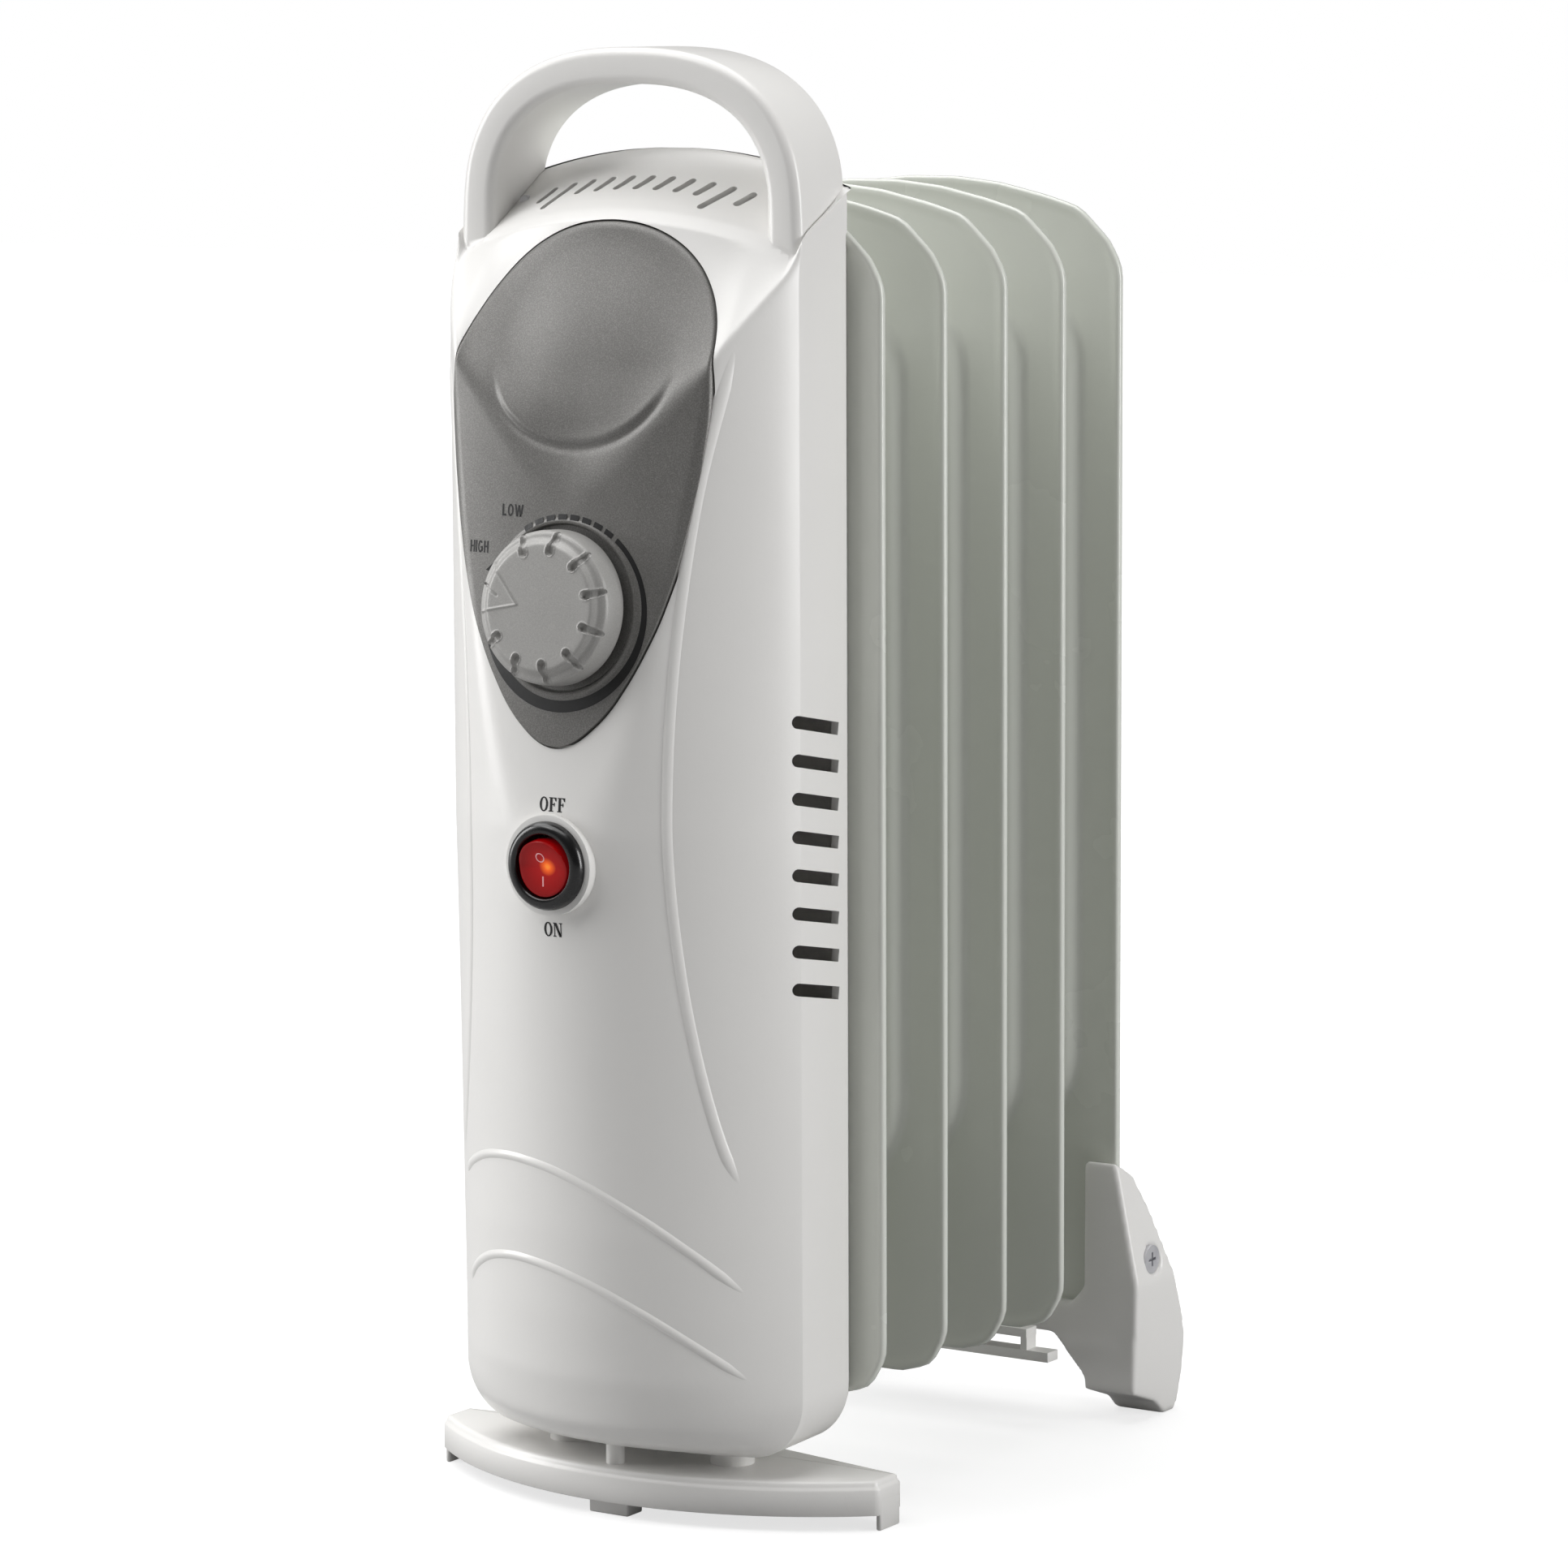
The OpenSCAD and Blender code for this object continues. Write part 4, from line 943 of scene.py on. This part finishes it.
def fin_piece(i):
    """One pressed fin: a rolled rim, a flat flange, and a soft step up to the oil channel."""
    n = 300
    outline = resampled(fin_loop(), n)
    sides = []
    for sign in (-1, 1):
        tall = FRONT_RISE if i == 0 and sign < 0 else 1.0
        rows = [(inset_loop(outline, d), h) for d, h in RIM]
        for inset, end, radius, rise in STEP:
            loop = channel_loop(inset, end, radius)
            rows.append((closest_on(loop, outline), FIN_SKIN + rise * tall * RISE_SCALE))
        sides.append([[(x, FIN_AT + PITCH * i + sign * h, z) for x, z in pts] for pts, h in rows])
    rings = sides[0][::-1] + sides[1]
    verts = [p for row in rings for p in row]
    faces = grid_faces(len(rings), n, closed=True) + end_caps(len(rings), n)
    fin = make("fin_plate_%d" % (i + 1), verts, faces, smooth=60)
    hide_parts("fin_%d" % (i + 1))
    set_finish(fin, "enamel")


# -------- feet
def cad_mesh(node):
    """A copy of a CAD node's mesh, where the node stands."""
    source = frame["nodes"][node]
    mesh = source.data.copy()
    mesh.materials.clear()
    mesh.transform(source.matrix_world)
    return mesh


def as_moulding(ob, node, angle, body):
    """Finishes a piece made from a CAD node and puts it in that node's place."""
    bpy.context.view_layer.update()
    apply_modifiers(ob)
    soften(ob, angle)
    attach(ob, body)
    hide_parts(node)
    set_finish(ob, "white_plastic")


def copied(node, name, bevel, body="root"):
    """A new piece from a CAD node's form, with its flat faces merged and its edges rounded."""
    mesh = cad_mesh(node)
    bm = bmesh.new()
    bm.from_mesh(mesh)
    bmesh.ops.remove_doubles(bm, verts=bm.verts, dist=2e-6)
    bmesh.ops.dissolve_limit(bm, angle_limit=math.radians(1.0), verts=bm.verts, edges=bm.edges)
    bm.to_mesh(mesh)
    bm.free()
    ob = linked(name, mesh)
    mod = ob.modifiers.new("round", "BEVEL")
    mod.width = bevel * MM
    mod.segments = 3
    mod.limit_method = "ANGLE"
    mod.angle_limit = math.radians(25)
    mod.harden_normals = False
    mod.use_clamp_overlap = True
    as_moulding(ob, node, 40, body)


def rounded_solid(node, name, voxel, passes):
    """A new piece from a CAD node's form, with every edge rounded softly as in a moulding."""
    ob = linked(name, cad_mesh(node))
    mod = ob.modifiers.new("remesh", "REMESH")
    mod.mode = "VOXEL"
    mod.voxel_size = voxel * MM
    smooth = ob.modifiers.new("smooth", "SMOOTH")
    smooth.factor = 0.5
    smooth.iterations = passes
    as_moulding(ob, node, 180, "root")


FOOT_HALF = 70.7
FOOT_BOW = 26.3
FOOT_FRONT = -40.3
FOOT_POINTS = 260


def foot_outline(inset):
    """Plan of the front foot: a bow in front, short ends, and a shallow V behind."""
    bow = (FOOT_HALF ** 2 + FOOT_BOW ** 2) / (2 * FOOT_BOW)
    cy = FOOT_FRONT + bow
    a = math.asin(FOOT_HALF / bow)
    front = [(bow * math.sin(t), cy - bow * math.cos(t)) for t in np.linspace(-a, a, 60)]
    back = [(FOOT_HALF, -2.6), (24, 6), (-24, 6), (-FOOT_HALF, -2.6)]
    radii = [1.2] + [0] * (len(front) - 2) + [1.2, 1.5, 8, 8, 1.5]
    return inset_loop(resampled(rounded(front + back, radii, 6), FOOT_POINTS), inset)


def loose_part(loops, caps):
    """A part from closed loops and their heights, with that many of its ends closed."""
    verts = [(x, y, z) for loop, z in loops for x, y in loop]
    n = len(loops[0][0])
    faces = grid_faces(len(loops), n, closed=True) + end_caps(len(loops), n)[:caps]
    return make("foot_part", verts, faces, body=None)


def oblong(x0, y0, x1, y1, radius):
    """A rectangle with rounded corners."""
    return rounded(box(x0, y0, x1, y1), [radius] * 4, 4)


def build_front_foot():
    """The front foot: a bowed hollow moulding, its end pads, its posts and the plunger's guide."""
    n = FOOT_POINTS
    outside = [(2.0, 4.3), (0.25, 4.2), (0.0, 4.5), (0.0, 10.9), (0.12, 11.3), (0.5, 11.7), (0.75, 12.2),
               (0.9, 12.9), (1.3, 13.25), (2.2, 13.4)]
    inside = [(2.0, 11.2), (2.0, 4.3)]
    verts = [(x, y, z) for inset, z in outside + inside for x, y in foot_outline(inset)]
    top, ceiling = (len(outside) - 1) * n, len(outside) * n
    faces = grid_faces(len(outside), n, closed=True)
    faces.append(tuple(range(top, top + n)))
    faces += [tuple(ceiling + k for k in quad) for quad in grid_faces(len(inside), n, closed=True)]
    faces.append(tuple(range(ceiling, ceiling + n)))
    parts = [make("front_foot_shell", verts, faces, body=None)]
    for side in (-1, 1):
        x = side * 70.0
        pad = oblong(x - 0.75, -13.2, x + 0.75, -3.4, 0.6)
        levels = ((0.25, 0.0), (0.0, 0.3), (0.0, 8.0))
        parts.append(loose_part([(inset_loop(pad, inset), z) for inset, z in levels], 1))
        post = [(side * 26 + u, -16 + v) for u, v in disc(6.0, 48)]
        parts.append(loose_part([(post, 4.6), (post, 17.8)], 0))
    guide = oblong(-8.3, -38.7, 8.3, -27.7, 0.8)
    hole = oblong(-6.35, -36.75, 6.35, -29.55, 0.4)
    parts.append(loose_part([(guide, 11.2), (guide, 4.2), (hole, 4.2), (hole, 11.4)], 0))
    foot = join(parts)
    foot.name = "front_foot_moulding"
    soften(foot, 40)
    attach(foot, "root")
    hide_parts("front_foot")
    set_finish(foot, "white_plastic")


# -------- materials
def rgb(r, g, b):
    """Linear colour from display values between 0 and 1."""
    return tuple(((c + 0.055) / 1.055) ** 2.4 if c > 0.04 else c / 12.92 for c in (r, g, b)) + (1.0,)


def noise(tree, coord, scale, detail):
    """A noise texture in the object's own space."""
    node = tree.nodes.new("ShaderNodeTexNoise")
    node.inputs["Scale"].default_value = scale
    node.inputs["Detail"].default_value = detail
    tree.links.new(coord.outputs["Object"], node.inputs["Vector"])
    return node.outputs["Fac"]


def ramp(tree, source, *stops):
    """Colours over a value, from two or more pairs of position and colour."""
    node = tree.nodes.new("ShaderNodeValToRGB")
    elements = node.color_ramp.elements
    elements[0].position, elements[0].color = stops[0]
    elements[1].position, elements[1].color = stops[-1]
    for position, colour in stops[1:-1]:
        elements.new(position).color = colour
    tree.links.new(source, node.inputs["Fac"])
    return node.outputs["Color"]


def material(name, light, dark, tone_scale=14.0, grain=900.0, bump=0.05, depth=0.0002, rough=(0.3, 0.4),
             coat=0.0, coat_rough=0.1, metal=0.0, ior=1.5, speckle=None, mottle=None):
    """Procedural finish: slow colour drift, a fine grain in the bump, and a roughness that varies."""
    mat = bpy.data.materials.new(name)
    mat.use_nodes = True
    tree = mat.node_tree
    nodes, links = tree.nodes, tree.links
    shader = nodes["Principled BSDF"]
    coord = nodes.new("ShaderNodeTexCoord")
    colour = ramp(tree, noise(tree, coord, tone_scale, 5.0), (0.3, dark), (0.7, light))
    fine = noise(tree, coord, grain, 3.0)
    if speckle:
        spots = ramp(tree, fine, (0.42, (0, 0, 0, 1)), (0.66, (1, 1, 1, 1)))
        mix = nodes.new("ShaderNodeMix")
        mix.data_type = "RGBA"
        mix.inputs[7].default_value = speckle
        links.new(spots, mix.inputs[0])
        links.new(colour, mix.inputs[6])
        colour = mix.outputs[2]
    links.new(colour, shader.inputs["Base Color"])
    span = nodes.new("ShaderNodeMapRange")
    limits = {"From Min": 0.3, "From Max": 0.7, "To Min": rough[0], "To Max": rough[1]}
    for socket, value in limits.items():
        span.inputs[socket].default_value = value
    links.new(noise(tree, coord, tone_scale * 3.1, 4.0), span.inputs["Value"])
    links.new(span.outputs["Result"], shader.inputs["Roughness"])
    height = fine
    if mottle:
        blend = nodes.new("ShaderNodeMath")
        blend.operation = "MULTIPLY_ADD"
        blend.inputs[1].default_value = 3.0
        links.new(noise(tree, coord, mottle, 1.0), blend.inputs[0])
        links.new(fine, blend.inputs[2])
        height = blend.outputs["Value"]
    relief = nodes.new("ShaderNodeBump")
    relief.inputs["Strength"].default_value = bump
    relief.inputs["Distance"].default_value = depth
    links.new(height, relief.inputs["Height"])
    links.new(relief.outputs["Normal"], shader.inputs["Normal"])
    shader.inputs["Metallic"].default_value = metal
    shader.inputs["IOR"].default_value = ior
    shader.inputs["Coat Weight"].default_value = coat
    shader.inputs["Coat Roughness"].default_value = coat_rough
    return mat


def red_glass():
    """The rocker's red lens, lit from inside by a small lamp near its middle."""
    mat = material("red_lens", rgb(0.60, 0.0, 0.0), rgb(0.52, 0.0, 0.0), tone_scale=90, grain=1500,
                   bump=0.02, rough=(0.16, 0.26), ior=1.36)
    nodes, links = mat.node_tree.nodes, mat.node_tree.links
    shader = nodes["Principled BSDF"]
    coord = nodes.new("ShaderNodeTexCoord")
    centre = np.array([1.6, BACK + SEAT - 2.0, SWITCH_Z + 0.3]) * MM
    away = nodes.new("ShaderNodeVectorMath")
    away.operation = "DISTANCE"
    away.inputs[1].default_value = tuple(centre)
    links.new(coord.outputs["Object"], away.inputs[0])
    scale = nodes.new("ShaderNodeMath")
    scale.operation = "DIVIDE"
    scale.inputs[1].default_value = 0.0075
    links.new(away.outputs["Value"], scale.inputs[0])
    glow = ramp(mat.node_tree, scale.outputs["Value"], (0.0, (1.0, 0.42, 0.05, 1)),
                (0.17, (0.7, 0.12, 0.015, 1)), (0.36, (0.16, 0.004, 0.004, 1)),
                (1.0, (0.03, 0.0, 0.001, 1)))
    links.new(glow, shader.inputs["Emission Color"])
    shader.inputs["Emission Strength"].default_value = 0.9
    return mat


# Each finish: its light and dark colour as display values, and what sets it apart
SATIN = {"tone_scale": 25, "grain": 3200, "bump": 0.3, "depth": 0.00008}
FINISHES = {
    "white_plastic": ((0.93, 0.925, 0.915), (0.915, 0.91, 0.90),
                      {"tone_scale": 9, "grain": 2600, "bump": 0.10, "depth": 0.00008,
                       "rough": (0.30, 0.38), "coat": 0.25, "coat_rough": 0.22, "mottle": 500}),
    "grey_plastic": ((0.44, 0.435, 0.425), (0.415, 0.41, 0.40),
                     {**SATIN, "rough": (0.36, 0.44), "metal": 0.25,
                      "speckle": rgb(0.51, 0.505, 0.495)}),
    "knob_grey": ((0.64, 0.635, 0.625), (0.61, 0.605, 0.595),
                  {**SATIN, "rough": (0.42, 0.5), "metal": 0.15, "speckle": rgb(0.67, 0.665, 0.655)}),
    "black_plastic": ((0.055, 0.055, 0.06), (0.035, 0.035, 0.04),
                      {"tone_scale": 60, "grain": 2400, "bump": 0.08, "rough": (0.22, 0.3),
                       "coat": 0.3}),
    "enamel": ((0.86, 0.87, 0.84), (0.85, 0.86, 0.83),
               {"tone_scale": 9, "grain": 2600, "bump": 0.06, "depth": 0.00005,
                "rough": (0.25, 0.28), "coat": 0.5}),
    "steel": ((0.88, 0.88, 0.89), (0.78, 0.78, 0.80),
              {"tone_scale": 120, "grain": 2800, "bump": 0.15, "rough": (0.3, 0.45), "metal": 0.75}),
    "brass": ((0.83, 0.68, 0.36), (0.72, 0.57, 0.28),
              {"tone_scale": 140, "grain": 2800, "bump": 0.12, "rough": (0.25, 0.4), "metal": 1.0}),
    "rubber": ((0.11, 0.11, 0.115), (0.07, 0.07, 0.075),
               {"tone_scale": 80, "grain": 2000, "bump": 0.3, "rough": (0.6, 0.75)}),
    "ceramic": ((0.93, 0.91, 0.86), (0.88, 0.86, 0.81),
                {"tone_scale": 90, "grain": 2200, "bump": 0.15, "rough": (0.45, 0.6)}),
    "ink": ((0.055, 0.055, 0.06), (0.035, 0.035, 0.04),
            {"tone_scale": 200, "grain": 3600, "bump": 0.15, "rough": (0.45, 0.6)}),
    "mark_print": ((0.99, 0.76, 0.78), (0.97, 0.70, 0.72),
                   {"tone_scale": 300, "grain": 3600, "bump": 0.1, "rough": (0.35, 0.5)}),
}
INSULATION = {"brown_insulation": (0.38, 0.22, 0.13), "blue_insulation": (0.16, 0.34, 0.62),
              "green_insulation": (0.24, 0.52, 0.2)}


def make_materials():
    made = {}
    for name, (light, dark, finish) in FINISHES.items():
        made[name] = material(name, rgb(*light), rgb(*dark), **finish)
    for name, tint in INSULATION.items():
        shade = [c * 0.88 for c in tint]
        made[name] = material(name, rgb(*tint), rgb(*shade), tone_scale=130, grain=2200, bump=0.1,
                              rough=(0.4, 0.5))
    made["red_lens"] = red_glass()
    return made


# -------- stage
def build_stage():
    """The floor: lit as paper, and white to the camera."""
    mesh = bpy.data.meshes.new("floor")
    mesh.from_pydata([(-6, -6, 0), (6, -6, 0), (6, 6, 0), (-6, 6, 0)], [], [(0, 1, 2, 3)])
    floor = linked("floor", mesh)
    paper = material("floor_paper", rgb(0.62, 0.62, 0.62), rgb(0.61, 0.61, 0.61), tone_scale=2,
                     grain=400, bump=0.02, rough=(0.8, 0.9))
    nodes, links = paper.node_tree.nodes, paper.node_tree.links
    path = nodes.new("ShaderNodeLightPath")
    lift = nodes.new("ShaderNodeMath")
    lift.operation = "MULTIPLY"
    lift.inputs[1].default_value = 0.72
    links.new(path.outputs["Is Camera Ray"], lift.inputs[0])
    links.new(lift.outputs["Value"], nodes["Principled BSDF"].inputs["Emission Strength"])
    nodes["Principled BSDF"].inputs["Emission Color"].default_value = (1, 1, 1, 1)
    mesh.materials.append(paper)
    floor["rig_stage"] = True


def area_light(name, place, target, size, power):
    """A rectangular lamp turned towards a target."""
    lamp = bpy.data.lights.new(name, "AREA")
    lamp.shape = "RECTANGLE"
    lamp.size, lamp.size_y = size
    lamp.energy = power
    ob = linked(name, lamp)
    ob.location = place
    ob.rotation_euler = (Vector(target) - Vector(place)).to_track_quat("-Z", "Y").to_euler()


def build_world():
    """White all round for the camera, and dimmer as a light, so that the forms keep their shading."""
    bpy.context.scene.view_settings.view_transform = "Standard"
    world = bpy.data.worlds.new("studio")
    world.use_nodes = True
    nodes, links = world.node_tree.nodes, world.node_tree.links
    back = nodes["Background"]
    path = nodes.new("ShaderNodeLightPath")
    level = nodes.new("ShaderNodeMapRange")
    level.inputs["To Min"].default_value = 0.09
    level.inputs["To Max"].default_value = 1.0
    back.inputs["Color"].default_value = (1.0, 1.0, 1.0, 1)
    links.new(path.outputs["Is Camera Ray"], level.inputs["Value"])
    links.new(level.outputs["Result"], back.inputs["Strength"])
    bpy.context.scene.world = world


def build_lights():
    """Soft side lamps, a faint one for the gloss, and a broad light from above."""
    build_world()
    middle = (0, 0, 0.2)
    area_light("left", (-1.95, -0.9, 0.75), middle, (0.9, 1.5), 27)
    area_light("right", (2.15, 0.45, 0.6), middle, (0.6, 1.6), 31)
    area_light("gloss", (-0.9, -1.4, 1.7), middle, (0.6, 0.6), 4)
    lamp = bpy.data.lights.new("overhead", "SUN")
    lamp.energy = 3.2
    lamp.angle = math.radians(70)
    ob = linked("overhead", lamp)
    ob.rotation_euler = (math.radians(3), math.radians(-17), 0)


CAMERA_DISTANCE = 1.58654


def build_camera():
    """The viewpoint solved from the slots, the fins and the feet."""
    turn, tilt, roll = (math.radians(a) for a in (33.01096, 7.58152, -0.220074))
    level = math.cos(tilt)
    ahead = Vector((-math.sin(turn) * level, math.cos(turn) * level, -math.sin(tilt)))
    side = Vector((math.cos(turn), math.sin(turn), 0))
    up = side.cross(ahead)
    right = side * math.cos(roll) + up * math.sin(roll)
    top = up * math.cos(roll) - side * math.sin(roll)
    aim = Vector((0.032777, BACK * MM, 0.194166))
    lens = bpy.data.cameras.new("camera")
    lens.sensor_width = 36.0
    lens.lens = 137.95
    lens.clip_end = 30
    camera = linked("camera", lens)
    frame_axes = Matrix((right, top, -ahead)).transposed().to_4x4()
    camera.matrix_world = Matrix.Translation(aim - ahead * CAMERA_DISTANCE) @ frame_axes
    bpy.context.scene.camera = camera


# -------- assembly
def on_barrel(x, z, lift):
    """A point just in front of the housing."""
    return tuple(on_surface(x, z, lift))


def build_all():
    """Camera, lights and every piece of the heater."""
    build_camera()
    build_lights()
    build_stage()
    build_front_cover()
    build_panel()
    build_knob()
    build_scale()
    build_word("low_print", "LOW", letter_bars, -17.0, 268.4, 3.1, on_panel_face, 0.85)
    build_word("high_print", "HIGH", letter_bars, -27.9, 258.5, 3.1, on_panel_face, 0.75)
    build_word("off_print", "OFF", serif_bars, 0.0, 193.3, 3.7, on_barrel, 1.1, gap=0.06)
    build_word("on_print", "ON", serif_bars, 0.0, 160.6, 3.7, on_barrel, 1.1, gap=0.06)
    build_bezel()
    build_rocker()
    for i in range(5):
        fin_piece(i)
    build_front_foot()
    rounded_solid("rear_foot", "rear_foot_moulding", 0.8, 9)
    copied("cord_cleat", "cord_cleat_moulding", 0.8)
    copied("tip_plunger", "tip_plunger_moulding", 0.5, body="plunger")


def paint():
    """Every piece and every carried-over CAD node gets its finish."""
    made = make_materials()
    special = {"dial_knob": "knob_grey", "rocker_lens": "red_lens", "rocker_marks": "mark_print"}
    for name in ("scale_print", "low_print", "high_print", "off_print", "on_print"):
        special[name] = "ink"
    slots = {row["node"]: row["material_slot"] for row in frame["record"]["subparts"]}
    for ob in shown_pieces():
        name = special.get(ob.name) or ob.get("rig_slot") or slots.get(ob.get("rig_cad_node"))
        name = name or "white_plastic"
        ob.data.materials.clear()
        ob.data.materials.append(made[name])


build_all()
paint()
